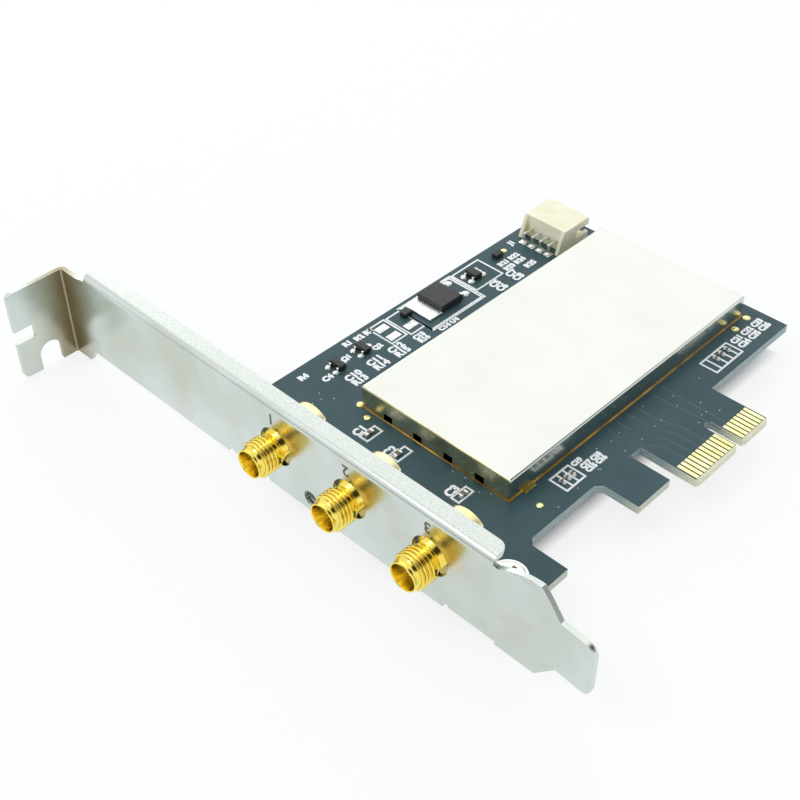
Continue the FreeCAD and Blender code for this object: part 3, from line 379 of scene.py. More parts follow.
def make_laminate():
    """Routed edge of the laminate: grey glass cloth in layers, bare and cream by the edge contacts."""
    material, tree, spot = start_material("glass_laminate_edge")
    layers = add(tree, "ShaderNodeTexWave", {
        "Vector": spot, "Scale": per(LAYER_PITCH), "Distortion": 1.5, "Detail": 2.0, "Detail Scale": 3.0,
    }, output="Fac", bands_direction="Z")
    fibre = add(tree, "ShaderNodeTexNoise", {"Vector": spot, "Scale": per(FIBRE_SIZE), "Detail": 2.0})
    tone = blend(tree, fibre, blend(tree, layers, "#8C9C9D", "#B8C4C4"), linear("#A0AEAE"))
    along = add(tree, "ShaderNodeSeparateXYZ", {"Vector": spot}, output="Y")
    bare = add(tree, "ShaderNodeMapRange", {
        "Value": along, "From Min": TAB_Y - BARE_FULL * MM, "From Max": TAB_Y - BARE_START * MM,
        "To Min": 1.0, "To Max": 0.0,
    })
    tone = add(tree, "ShaderNodeMix", {
        "Factor": bare, "A": tone, "B": blend(tree, fibre, "#E2E0C2", "#F2F0DA"),
    }, data_type="RGBA")
    end_material(tree, {"Base Color": tone, "Roughness": 0.6})
    return material


NICKEL_SHEET = make_nickel()
SLATE_MASK = make_mask()
LAMINATE_EDGE = make_laminate()

# Mesh helpers

# metres between corners that count as one, and degrees within which triangles are one flat face
MERGE_GAP = 1e-6
FLAT_ANGLE = 0.5
# degrees past which an edge is eased, and past which a turned piece keeps a sharp edge
EASE_ANGLE = 35
SHARP_ANGLE = 30


def carrier(name, data):
    item = bpy.data.objects.new(name, data)
    bpy.context.scene.collection.objects.link(item)
    return item


def piece(name, mesh, material, slot, *nodes):
    """Finished piece of the card on its one body, standing for these CAD nodes."""
    mesh.materials.clear()
    mesh.materials.append(material)
    item = carrier(name, mesh)
    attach(item, "root")
    if nodes:
        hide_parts(*nodes)
    return item


def evaluated(item):
    """Plain mesh of an object with its modifiers, and the object removed."""
    bpy.context.view_layer.update()
    graph = bpy.context.evaluated_depsgraph_get()
    mesh = bpy.data.meshes.new_from_object(item.evaluated_get(graph))
    bpy.data.objects.remove(item)
    return mesh


def smoothed(mesh):
    mesh.shade_smooth()
    mesh.set_sharp_from_angle(angle=math.radians(SHARP_ANGLE))
    return mesh


def eased(mesh, width_mm, segments=2):
    """Mesh with its sharp edges rounded by that width, and its flat faces still shaded flat."""
    mesh.shade_smooth()
    item = carrier("easing", mesh)
    bevel = item.modifiers.new("edges", "BEVEL")
    bevel.width = width_mm * MM
    bevel.segments = segments
    bevel.limit_method = "ANGLE"
    bevel.angle_limit = math.radians(EASE_ANGLE)
    flat = item.modifiers.new("flat_faces", "WEIGHTED_NORMAL")
    flat.mode = "FACE_AREA"
    flat.weight = 100
    return evaluated(item)


def from_work(name, work):
    mesh = bpy.data.meshes.new(name)
    work.to_mesh(mesh)
    work.free()
    return mesh


def node_mesh(node):
    """Copy of a CAD node's mesh with its loose triangles joined into whole faces."""
    work = bmesh.new()
    work.from_mesh(frame["nodes"][node].data)
    bmesh.ops.remove_doubles(work, verts=work.verts, dist=MERGE_GAP)
    bmesh.ops.dissolve_limit(
        work, angle_limit=math.radians(FLAT_ANGLE), verts=work.verts, edges=work.edges,
        delimit={"NORMAL"},
    )
    return from_work(node, work)


def dressed(node, material, slot, width_mm, segments=2):
    return piece(node + "_dressed", eased(node_mesh(node), width_mm, segments), material, slot, node)


def boxes(name, spans, turn=Matrix()):
    """One mesh of closed boxes, each from its low to its high corner, turned together."""
    work = bmesh.new()
    for low, high in spans:
        made = bmesh.ops.create_cube(work, size=1.0)["verts"]
        low, high = Vector(low), Vector(high)
        size = Matrix.Diagonal((*(high - low), 1.0))
        bmesh.ops.transform(work, matrix=Matrix.Translation((low + high) / 2) @ size, verts=made)
    bmesh.ops.transform(work, matrix=turn, verts=work.verts)
    return from_work(name, work)


def prism(name, outline, start, end):
    """Closed prism along x from an outline of (y, z) points, all in metres."""
    work = bmesh.new()
    face = work.faces.new([work.verts.new((start, y, z)) for y, z in outline])
    swept = bmesh.ops.extrude_face_region(work, geom=[face])["geom"]
    moved = [item for item in swept if isinstance(item, bmesh.types.BMVert)]
    bmesh.ops.translate(work, vec=(end - start, 0, 0), verts=moved)
    bmesh.ops.recalc_face_normals(work, faces=work.faces)
    return from_work(name, work)


def turned(name, profile, centre, segments=96):
    """Closed solid turned about an axis along x through centre, from (x, radius) in millimetres."""
    work = bmesh.new()
    rings = []
    for along, radius in profile:
        count = segments if radius else 1
        angles = [2 * math.pi * step / count for step in range(count)]
        rings.append([
            work.verts.new(centre + Vector((along, radius * math.cos(a), radius * math.sin(a))) * MM)
            for a in angles
        ])
    for first, second in zip(rings, rings[1:]):
        for step in range(segments):
            after = step + 1
            corners = [first[step % len(first)], first[after % len(first)]]
            corners += [second[after % len(second)], second[step % len(second)]]
            work.faces.new(list(dict.fromkeys(corners)))
    bmesh.ops.recalc_face_normals(work, faces=work.faces)
    return from_work(name, work)


def combined(base, steps):
    """Base mesh united with, or cut by, other meshes in order."""
    item = carrier("base", base)
    tools = []
    for operation, mesh in steps:
        tool = carrier("tool", mesh)
        tools.append(tool)
        modifier = item.modifiers.new("step", "BOOLEAN")
        modifier.operation = operation
        modifier.solver = "EXACT"
        modifier.object = tool
    mesh = evaluated(item)
    for tool in tools:
        bpy.data.objects.remove(tool)
    return mesh


def joined(name, meshes):
    work = bmesh.new()
    for mesh in meshes:
        work.from_mesh(mesh)
    return from_work(name, work)


def paths(name, lines):
    """Mesh of bare edges along lists of points, each with a word on whether it closes."""
    verts = []
    edges = []
    for points, closed in lines:
        first = len(verts)
        verts += [tuple(point) for point in points]
        edges += [(first + i, first + i + 1) for i in range(len(points) - 1)]
        if closed:
            edges.append((len(verts) - 1, first))
    mesh = bpy.data.meshes.new(name)
    mesh.from_pydata(verts, edges, [])
    return mesh


# Geometry node trees


def start_tree(name, inputs):
    """Node tree with a geometry input and output, and named inputs for its sizes."""
    tree = bpy.data.node_groups.new(name, "GeometryNodeTree")
    tree.interface.new_socket("Geometry", in_out="INPUT", socket_type="NodeSocketGeometry")
    for label, kind in inputs.items():
        tree.interface.new_socket(label, in_out="INPUT", socket_type="NodeSocket" + kind)
    tree.interface.new_socket("Material", in_out="INPUT", socket_type="NodeSocketMaterial")
    tree.interface.new_socket("Geometry", in_out="OUTPUT", socket_type="NodeSocketGeometry")
    return tree, tree.nodes.new("NodeGroupInput").outputs


def end_tree(tree, given, geometry):
    whole = add(tree, "GeometryNodeRealizeInstances", {"Geometry": geometry})
    painted = add(tree, "GeometryNodeSetMaterial", {"Geometry": whole, "Material": given["Material"]})
    add(tree, "NodeGroupOutput", {"Geometry": painted})
    return tree


def grown(tree, source, values):
    """Plain mesh of a node tree on a source mesh, its inputs set by their identifiers."""
    item = carrier("growing", source)
    modifier = item.modifiers.new("tree", "NODES")
    modifier.node_group = tree
    for socket in tree.interface.items_tree:
        if socket.in_out == "INPUT" and socket.name in values:
            modifier[socket.identifier] = values[socket.name]
    return evaluated(item)


# width of the thread's ridge along the axis, as a share of its height
RIDGE_SPREAD = 0.98


def make_thread_tree():
    """Screw thread: one ridge, a steep diamond in section, wound along a spiral and laid along x."""
    tree, given = start_tree("thread_ridge", {
        "Radius": "Float", "Length": "Float", "Turns": "Float", "Ridge": "Float", "Centre": "Vector",
    })
    spiral = add(tree, "GeometryNodeCurveSpiral", {
        "Resolution": 72, "Rotations": given["Turns"], "Start Radius": given["Radius"],
        "End Radius": given["Radius"], "Height": given["Length"],
    })
    upright = add(tree, "GeometryNodeSetCurveNormal", {"Curve": spiral}, mode="Z_UP")
    section = add(tree, "GeometryNodeCurvePrimitiveCircle", {"Resolution": 4, "Radius": given["Ridge"]})
    steep = add(tree, "GeometryNodeTransform", {"Geometry": section, "Scale": (1, RIDGE_SPREAD, 1)})
    ridge = add(tree, "GeometryNodeCurveToMesh", {
        "Curve": upright, "Profile Curve": steep, "Fill Caps": True,
    })
    laid = add(tree, "GeometryNodeTransform", {
        "Geometry": ridge, "Rotation": (0, math.radians(90), 0), "Translation": given["Centre"],
    })
    return end_tree(tree, given, laid)


def make_strip_tree():
    """Flat strip along every path of the source, as a printed line or a track runs."""
    tree, given = start_tree("flat_strip", {"Width": "Float", "Thickness": "Float"})
    line = add(tree, "GeometryNodeMeshToCurve", {"Mesh": given["Geometry"]})
    flat = add(tree, "GeometryNodeSetCurveNormal", {"Curve": line}, mode="Z_UP")
    section = add(tree, "GeometryNodeCurvePrimitiveQuadrilateral", {
        "Width": given["Width"], "Height": given["Thickness"],
    })
    strip = add(tree, "GeometryNodeCurveToMesh", {
        "Curve": flat, "Profile Curve": section, "Fill Caps": True,
    })
    return end_tree(tree, given, strip)


def make_lump_tree():
    """Rounded lump on every point of the source, for solder and for vias."""
    tree, given = start_tree("rounded_lump", {"Size": "Vector"})
    ball = add(tree, "GeometryNodeMeshUVSphere", {"Segments": 16, "Rings": 8, "Radius": 1.0})
    lumps = add(tree, "GeometryNodeInstanceOnPoints", {
        "Points": given["Geometry"], "Instance": ball, "Scale": given["Size"],
    })
    return end_tree(tree, given, lumps)


THREAD_TREE = make_thread_tree()
STRIP_TREE = make_strip_tree()
LUMP_TREE = make_lump_tree()


def lumps(name, points, size_mm, material, slot):
    mesh = grown(LUMP_TREE, paths(name, [([point], False) for point in points]), {
        "Size": Vector(size_mm) * MM, "Material": material,
    })
    mesh.shade_smooth()
    piece(name, mesh, material, slot)


# Bracket


LETTER_THICK = 0.01


def flat_text(words, size_mm, bold_mm):
    """Mesh of generic lettering, a thin closed solid in the xy plane, centred."""
    curve = bpy.data.curves.new("lettering", "FONT")
    curve.body = words
    curve.size = size_mm * MM
    curve.extrude = LETTER_THICK * MM
    curve.offset = bold_mm * MM
    curve.align_x = "CENTER"
    curve.align_y = "CENTER"
    curve.resolution_u = 3
    curve.space_line = 0.85
    return evaluated(carrier("lettering", curve))


# numerals by the ports: letter height, boldness, and places on the face
NUMERAL_SIZE = 2.9
NUMERAL_BOLD = 0.07
NUMERAL_SPOTS = ((-56.3, 14.55), (-72.9, 14.6), (-89.5, 14.7))


def dress_bracket():
    dressed("bracket", NICKEL_SHEET, "steel", width_mm=0.10)
    turn = Matrix(((0, 0, -1), (1, 0, 0), (0, -1, 0))).to_4x4()
    marks = []
    for port, spot in zip(PORTS, NUMERAL_SPOTS):
        mark = flat_text(port, NUMERAL_SIZE, NUMERAL_BOLD)
        mark.transform(Matrix.Translation(on_face(*spot)) @ turn)
        marks.append(mark)
    piece("port_numerals", joined("port_numerals", marks), STAMP, "steel")


# board screws: height over the board and radius, from the shank's end up over washer, groove and head
SCREW_PROFILE = (
    (-4.85, 0), (-4.85, 1.25), (-4.65, 1.45), (0, 1.45), (0, 3.02), (0.08, 3.10), (0.50, 3.10),
    (0.60, 3.00), (0.60, 2.62), (0.35, 2.58), (0.35, 2.48), (0.72, 2.46), (1.02, 2.34), (1.16, 2.08),
    (1.20, 1.70), (1.20, 0),
)
DRIVE_LENGTH = 3.0
DRIVE_WIDTH = 0.7
DRIVE_DEPTH = 0.8


def make_screws():
    """Two board screws with washers, each head with its cross drive."""
    upright = Matrix.Rotation(math.radians(-90), 4, "Y")
    screws = []
    for low, high in solids_of("bracket_screws"):
        screw = turned("screw", SCREW_PROFILE, Vector(), segments=64)
        screw.transform(upright)
        half = Vector((DRIVE_LENGTH, DRIVE_WIDTH, 0)) * MM / 2
        lift = Vector((0, 0, (SCREW_PROFILE[-1][0] - DRIVE_DEPTH) * MM))
        for side in (half, Vector((half.y, half.x, 0))):
            bar = boxes("drive", [(lift - side, lift + side + Vector((0, 0, 2 * DRIVE_DEPTH * MM)))])
            screw = combined(screw, [("DIFFERENCE", bar)])
        screw.transform(Matrix.Translation(middle_at(low, high, BOARD_TOP)))
        screws.append(smoothed(screw))
    piece("board_screws", joined("board_screws", screws), BRIGHT_TIN, "steel", "bracket_screws")


# Antenna jacks

# jack sizes in millimetres, places along its axis counted from the bracket's face
THREAD_ROOT = 2.80
THREAD_CREST = 3.13
THREAD_START = -4.42
THREAD_END = -1.45
THREAD_PITCH = 0.7056
NECK_RADIUS = 3.30
NECK_LIP = 3.49
NECK_START = -0.90
NECK_FLAT = 2.45
NECK_TURN = 30
# reach of the two blocks that cut the neck's flats: outwards, to both sides, and past its start
CUT_OUT = 5
CUT_SIDE = 4
CUT_PAST = 0.01
BODY_START = 1.05
BODY_HALF = 3.0
BODY_ARCH = 4.2
BODY_EASE = 0.22
ARCH_STEPS = 20
BARREL_BACK = BODY_START + 0.3
LEG_SIDE = 0.8
LEG_INSET = 0.75
PIN_RADIUS = 0.46
BORE_RADIUS = 2.27
# distance from the bracket's face and radius, from the bore's floor round the rim to the back
BARREL_PROFILE = (
    (-1.05, 0), (-1.05, 2.25), (-5.45, 2.25), (-5.58, 2.29), (-5.65, 2.38), (-5.65, 2.44),
    (-5.60, 2.53), (-5.50, 2.56), (-5.44, 2.56), (-4.62, 2.56), (-4.45, THREAD_ROOT),
    (-1.42, THREAD_ROOT), (-1.36, 2.70), (-0.98, 2.70), (NECK_START, 2.76), (NECK_START, 3.20),
    (-0.82, NECK_RADIUS), (-0.16, NECK_RADIUS), (-0.03, NECK_LIP), (0.60, NECK_LIP),
    (0.70, NECK_RADIUS), (BARREL_BACK, NECK_RADIUS), (BARREL_BACK, 0),
)


def jack_axis(port):
    """Point of a jack's axis on the bracket's face, from its pin."""
    low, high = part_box("jack_pin_" + port)
    return Vector((FACE_X, (low.y + high.y) / 2, high.z - PIN_RADIUS * MM))


def jack_legs(port):
    """Corner boxes of a jack's four legs, from inside its block down through the board."""
    low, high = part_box("antenna_jack_" + port)
    block = jack_block_sides(port)
    spans = []
    for along in (FACE_X + (BODY_START + LEG_INSET) * MM, high.x - (LEG_INSET + LEG_SIDE) * MM):
        for across in (block[0], block[1] - LEG_SIDE * MM):
            corner = Vector((along, across, low.z))
            top = BOARD_TOP + LEG_SIDE * MM - low.z
            spans.append((corner, corner + Vector((LEG_SIDE * MM, LEG_SIDE * MM, top))))
    return spans


def jack_block_sides(port):
    middle = jack_axis(port).y
    return middle - BODY_HALF * MM, middle + BODY_HALF * MM


def jack_block(port):
    """Arched block behind the bracket that carries the barrel."""
    low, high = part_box("antenna_jack_" + port)
    left, right = jack_block_sides(port)
    middle = (left + right) / 2
    centre = high.z - BODY_ARCH * MM
    reach = math.asin((right - left) / 2 / (BODY_ARCH * MM))
    angles = [reach - 2 * reach * step / ARCH_STEPS for step in range(ARCH_STEPS + 1)]
    arch = [
        (middle + BODY_ARCH * MM * math.sin(a), centre + BODY_ARCH * MM * math.cos(a)) for a in angles
    ]
    outline = [(left, BOARD_TOP), (right, BOARD_TOP), *arch]
    return eased(prism("block", outline, FACE_X + BODY_START * MM, high.x), BODY_EASE, segments=3)


def neck_flats(axis):
    """Two boxes that flatten the neck, turned about the jack's axis."""
    low, high = NECK_START - CUT_PAST, BODY_START
    spans = [
        (Vector((low, NECK_FLAT, -CUT_SIDE)) * MM, Vector((high, CUT_OUT, CUT_SIDE)) * MM),
        (Vector((low, -CUT_OUT, -CUT_SIDE)) * MM, Vector((high, -NECK_FLAT, CUT_SIDE)) * MM),
    ]
    turn = Matrix.Translation(axis) @ Matrix.Rotation(math.radians(NECK_TURN), 4, "X")
    return boxes("flats", spans, turn)


def paint_jack(mesh, axis):
    """Give a jack's bore its satin finish and its block the paler gold, a painted highlight."""
    mesh.materials.append(BORE_GOLD)
    # the block's pale cream gold is a painted highlight
    mesh.materials.append(BLOCK_GOLD_PAINTED_HIGHLIGHT)
    for face in mesh.polygons:
        across = Vector((face.center.y - axis.y, face.center.z - axis.z))
        if face.center.x > axis.x + BODY_START * MM:
            face.material_index = 2
        elif across.length < BORE_RADIUS * MM:
            face.material_index = 1


def make_jacks():
    length = THREAD_END - THREAD_START
    for port in PORTS:
        axis = jack_axis(port)
        steps = [("DIFFERENCE", neck_flats(axis)), ("UNION", jack_block(port))]
        steps += [("UNION", boxes("leg", [span])) for span in jack_legs(port)]
        barrel = smoothed(combined(turned("barrel", BARREL_PROFILE, axis), steps))
        piece("jack_barrel_" + port, barrel, GOLD_PLATE, "gold_plated_brass", "antenna_jack_" + port)
        paint_jack(barrel, axis)
        ridge = grown(THREAD_TREE, bpy.data.meshes.new("none"), {
            "Radius": THREAD_ROOT * MM, "Length": length * MM, "Turns": length / THREAD_PITCH,
            "Ridge": (THREAD_CREST - THREAD_ROOT) * MM,
            "Centre": axis + Vector((THREAD_START * MM, 0, 0)), "Material": GOLD_PLATE,
        })
        piece("jack_thread_" + port, ridge, GOLD_PLATE, "gold_plated_brass")
        dressed("jack_pin_" + port, CONTACT_GOLD, "gold_plated_brass", width_mm=0.1)
        dressed("jack_insulator_" + port, FLUOROPOLYMER, "white_insulator", width_mm=0.05)


# Board, its tracks and its legend

# share of a normal that points up or down on the board's two masked faces
MASKED_FACING = 0.95


def dress_board():
    mesh = eased(node_mesh("circuit_board"), width_mm=0.06)
    piece("circuit_board_dressed", mesh, SLATE_MASK, "board_laminate", "circuit_board")
    mesh.materials.append(LAMINATE_EDGE)
    for face in mesh.polygons:
        face.material_index = 0 if abs(face.normal.z) > MASKED_FACING else 1
    for node in ("edge_contacts_upper", "edge_contacts_lower", "test_pads"):
        dressed(node, CONTACT_GOLD, "gold_plated_copper", width_mm=0.015, segments=1)


RING_MARGIN = 0.20
RING_WIDTH = 0.5
# left, right, far and near sides of the tab
RING_TAB = (23.4, 26.0, -88.85, -88.1)
RING_TAB_RISE = 0.12
# a strip thins at the square corners of a closed path, so such a path is drawn wider
CORNER_SHARE = math.sqrt(2)


def make_ring():
    """Ground ring round the can's foot, with the bright tab at its corner."""
    low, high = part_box("shield_can")
    ring_low, ring_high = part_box("shield_ground_ring")
    out = (RING_MARGIN - RING_WIDTH / 2) * MM
    sides = ((low.x - out, low.y - out), (high.x + out, high.y + out))
    level = (ring_low.z + ring_high.z) / 2
    corners = [Vector((sides[i][0], sides[j][1], level)) for i, j in ((0, 0), (1, 0), (1, 1), (0, 1))]
    mesh = grown(STRIP_TREE, paths("ring", [(corners, True)]), {
        "Width": RING_WIDTH * CORNER_SHARE * MM, "Thickness": ring_high.z - ring_low.z,
        "Material": RING_GOLD_PAINTED_SHADE,
    })
    # the ring's dark gold is painted shade at the can's foot
    piece("ground_ring", mesh, RING_GOLD_PAINTED_SHADE, "gold_plated_copper", "shield_ground_ring")
    left, right, far, near = RING_TAB
    tab = boxes("ring_tab", [(card(left, far), card(right, near, RING_TAB_RISE))])
    piece("ground_ring_tab", eased(tab, width_mm=0.05), GOLD_PLATE, "gold_plated_copper")


TRACK_WIDTH = 0.35
TRACK_THICK = 0.008
PRINT_THICK = 0.02
PRINT_LIFT = 0.004
# antenna feeds: places of their four points inward, and where along the board they end
FEED_WAY = (9.2, 12.4, 13.4, 19.6)
FEED_ENDS = (-62.0, -72.0, -82.0)
# lanes from the edge contacts: the first one's place, their pitch, the gap at the key slot, the shift
# inwards and how it closes, and places of their four points along the board
LANE_COUNT = 6
LANE_START = 47.0
LANE_PITCH = 2.0
LANES_BEFORE_KEY = 4
KEY_GAP = 2.0
LANE_SHIFT = 3.0
LANE_CLOSING = 0.6
LANE_WAY = (-102.6, -98.0, -93.0, -89.2)


def run_tracks():
    """Copper tracks that show through the mask: antenna feeds and pairs from the edge contacts."""
    lines = []
    for port, end in zip(PORTS, FEED_ENDS):
        middle = (jack_axis(port).y - TAB_Y) / MM
        way = zip(FEED_WAY, (middle, middle, end, end))
        lines.append(([card(*spot) for spot in way], False))
    for number in range(LANE_COUNT):
        x = LANE_START + number * LANE_PITCH + (KEY_GAP if number >= LANES_BEFORE_KEY else 0.0)
        inner = x - LANE_SHIFT + number * LANE_CLOSING
        way = zip((x, x, inner, inner), LANE_WAY)
        lines.append(([card(*spot) for spot in way], False))
    mesh = grown(STRIP_TREE, paths("tracks", lines), {
        "Width": TRACK_WIDTH * MM, "Thickness": TRACK_THICK * MM, "Material": TRACK_MASK,
    })
    piece("mask_tracks", mesh, TRACK_MASK, "board_laminate")


# printed frames: left, right, near and far sides in millimetres
LEGEND_FRAMES = (
    (14.6, 18.1, -60.7, -62.5), (14.6, 18.0, -67.7, -69.4), (14.6, 18.05, -81.05, -82.65),
    (28.3, 32.9, -89.65, -93.2), (68.8, 76.8, -90.45, -93.95),
    (35.6, 39.4, -41.7, -47.7), (39.9, 43.4, -41.9, -48.3), (43.5, 57.1, -41.7, -50.0),
    (43.5, 57.6, -41.35, -50.35), (58.0, 65.4, -41.6, -48.0),
)
# printed bars between parts in a frame: place, near and far ends in millimetres
LEGEND_BARS = (
    (29.85, -89.65, -93.2), (31.35, -89.65, -93.2), (70.4, -90.45, -93.95), (72.3, -90.45, -93.95),
    (74.0, -90.45, -93.95), (75.6, -90.45, -93.95),
)
# plain position numbers: words, middle and letter height
LEGEND_WORDS = (
    ("C1", 15.6, -59.8, 2.2), ("C2", 15.5, -66.9, 2.2), ("C3", 15.8, -80.2, 2.2),
    ("R1", 30.1, -41.9, 1.6), ("R2 R3", 33.9, -42.2, 1.7), ("Q1", 27.2, -44.6, 1.5),
    ("Q2", 33.2, -46.4, 1.5),
    ("C11\nR14", 30.2, -49.6, 2.0), ("C10\nR13", 24.7, -49.8, 2.0), ("C12\nR15", 35.3, -49.8, 2.0),
    ("C13\nR16", 40.6, -50.2, 1.5), ("C14 U4", 46.8, -51.1, 1.5), ("C5\nC6", 61.9, -50.0, 2.0),
    ("R21 R22", 69.6, -45.9, 1.6), ("R23 R24", 69.4, -47.6, 1.6), ("C7\nC8", 66.6, -50.0, 2.0),
    ("R25", 71.4, -49.8, 1.7), ("R4", 18.4, -43.0, 1.7), ("C4", 21.2, -46.2, 1.7),
    ("J1", 74.3, -42.6, 1.7),
    ("C15 C16", 36.4, -92.7, 1.3), ("C17 C18", 36.4, -91.6, 1.3), ("C19", 34.5, -90.2, 1.3),
    ("C21 C22 C23", 82.3, -91.3, 1.65), ("C24 C25 C26", 82.3, -92.9, 1.65),
)
LEGEND_BOLD = 0.13
LINE_WIDTH = 0.38
BAR_LIFT = 0.008


def print_legend():
    """White legend: frames round parts, and their plain position numbers."""
    outlines = []
    for left, right, near, far in LEGEND_FRAMES:
        corners = ((left, near), (right, near), (right, far), (left, far))
        outlines.append(([card(*corner, PRINT_LIFT) for corner in corners], True))
    bars = [([card(x, near, BAR_LIFT), card(x, far, BAR_LIFT)], False) for x, near, far in LEGEND_BARS]
    meshes = [
        grown(STRIP_TREE, paths("lines", lines), {
            "Width": width * MM, "Thickness": PRINT_THICK * MM, "Material": LEGEND_INK,
        })
        for lines, width in ((outlines, LINE_WIDTH * CORNER_SHARE), (bars, LINE_WIDTH))
    ]
    for words, x, y, size in LEGEND_WORDS:
        mesh = flat_text(words, size, LEGEND_BOLD)
        mesh.transform(Matrix.Translation(card(x, y, PRINT_LIFT)))
        meshes.append(mesh)
    piece("legend_print", joined("legend_print", meshes), LEGEND_INK, "board_laminate")


# bare stretches of board for vias: left, right, far and near sides, and how many
VIA_FIELDS = (
    (10.0, 13.0, -88.0, -52.0, 9), (18.4, 19.6, -86.0, -64.0, 4), (22.0, 66.0, -94.6, -93.6, 9),
    (38.0, 66.0, -93.0, -89.4, 7), (46.0, 63.0, -101.5, -96.0, 5), (14.5, 19.0, -52.0, -48.0, 4),
)
VIA_SEED = 7
VIA_SIZE = (0.09, 0.09, 0.02)


def drill_vias():
    """Vias, as bright pin-points on the bare stretches of both faces."""
    source = random.Random(VIA_SEED)
    points = [
        card(source.uniform(left, right), source.uniform(far, near))
        for left, right, far, near, count in VIA_FIELDS for _ in range(count)
    ]
    through = [Vector((*point.xy, BOARD_LOW.z)) for point in points]
    lumps("small_vias", points + through, VIA_SIZE, BRIGHT_TIN, "tinned_metal")


# Shield can, header and small parts

LEADED = ("regulator", "transistor_first", "transistor_second", "load_switch")
MOULDED = (*LEADED, "diode_first", "diode_second")
# share of a normal that points inward or outward on the can's end walls
WALL_FACING = 0.5


def dress_parts():
    can = dressed("shield_can", TIN_SHEET, "tinned_sheet", width_mm=0.06).data
    # the end walls take the yellower tin, a painted reflection
    can.materials.append(WALL_TIN_PAINTED_REFLECTION)
    for face in can.polygons:
        face.material_index = 1 if abs(face.normal.x) > WALL_FACING else 0
    for node in MOULDED:
        dressed(node, EPOXY, "black_moulding", width_mm=0.14)
    for node in LEADED:
        dressed(node + "_leads", BRIGHT_TIN, "tinned_metal", width_mm=0.03, segments=1)
    dressed("regulator_tab", BRIGHT_TIN, "tinned_metal", width_mm=0.15)
    for node in ("tinned_pads", "header_pads"):
        dressed(node, BRIGHT_TIN, "tinned_metal", width_mm=0.02, segments=1)
    dressed("header_pins", BRIGHT_TIN, "tinned_metal", width_mm=0.05, segments=1)
    dressed("header_housing", NYLON, "cream_nylon", width_mm=0.15)


def solids_of(node):
    """Corner boxes of a CAD node's separate solids."""
    work = bmesh.new()
    work.from_mesh(frame["nodes"][node].data)
    bmesh.ops.remove_doubles(work, verts=work.verts, dist=MERGE_GAP)
    left = set(work.verts)
    found = []
    while left:
        waiting = [left.pop()]
        spots = []
        while waiting:
            vert = waiting.pop()
            spots.append(vert.co.copy())
            near = {edge.other_vert(vert) for edge in vert.link_edges} & left
            left -= near
            waiting += near
        low = Vector([min(spot[i] for spot in spots) for i in range(3)])
        high = Vector([max(spot[i] for spot in spots) for i in range(3)])
        found.append((low, high))
    work.free()
    return sorted(found, key=lambda span: tuple(span[0]))


def middle_at(low, high, level):
    """Point in the middle of a corner box, seen from above, at a level."""
    return Vector(((low.x + high.x) / 2, (low.y + high.y) / 2, level))


CAPACITOR_NODES = (
    "antenna_capacitor_first", "antenna_capacitor_second", "antenna_capacitor_third",
    "coupling_capacitors_first", "coupling_capacitors_second",
)
# a chip capacitor's tinned end as a share of its length, and how far in its ceramic stands, in
# millimetres round it and as a share of the end along it
END_SHARE = 0.26
BODY_INSET = 0.03
BODY_SHARE = 0.8


def capacitor_spans(low, high):
    """Ceramic middle and two tinned ends of a chip capacitor, along its longer side."""
    axis = 0 if high.x - low.x > high.y - low.y else 1
    end = END_SHARE * (high[axis] - low[axis])
    shrink = Vector((BODY_INSET, BODY_INSET, BODY_INSET)) * MM
    shrink[axis] = end * BODY_SHARE
    body = (low + shrink, high - shrink)
    first_high = high.copy()
    first_high[axis] = low[axis] + end
    second_low = low.copy()
    second_low[axis] = high[axis] - end
    return body, [(low, first_high), (second_low, high)]


def make_capacitors():
    for node in CAPACITOR_NODES:
        bodies = []
        ends = []
        for low, high in solids_of(node):
            body, caps = capacitor_spans(low, high)
            bodies.append(body)
            ends += caps
        piece(node + "_bodies", eased(boxes(node, bodies), width_mm=0.05), CERAMIC, "tan_ceramic", node)
        piece(node + "_ends", eased(boxes(node, ends), width_mm=0.07), BRIGHT_TIN, "tinned_metal")


def foot_points(body):
    """Points on the board at the feet of a body's leads."""
    low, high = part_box(body)
    middle = (low.x + high.x) / 2
    points = []
    for lead_low, lead_high in solids_of(body + "_leads"):
        outer = lead_high.x if lead_low.x > middle else lead_low.x
        points.append(Vector((outer, (lead_low.y + lead_high.y) / 2, BOARD_TOP)))
    return points


def end_points(node):
    """Middles of the tinned ends of a node's chip capacitors."""
    ends = []
    for low, high in solids_of(node):
        ends += [(end_low + end_high) / 2 for end_low, end_high in capacitor_spans(low, high)[1]]
    return ends


# half sizes of the solder lumps in millimetres, and the place of the one by the ring's corner
TRANSISTOR_LUMP = (0.70, 0.58, 0.34)
SWITCH_LUMP = (0.80, 0.70, 0.42)
REGULATOR_LUMP = (0.95, 0.80, 0.42)
CAPACITOR_LUMP = (0.38, 0.38, 0.34)
HEADER_LUMP = (0.78, 0.78, 0.50)
HEADER_LUMP_BELOW = (0.75, 0.75, 0.65)
JACK_LUMP_BELOW = (0.95, 0.95, 0.70)
TEST_PAD_DOME = (0.62, 0.62, 0.16)
CORNER_LUMP = (0.75, 0.75, 0.35)
CORNER_SPOT = (20.2, -55.2)
PAD_LUMP = (1.15, 0.68, 0.16)


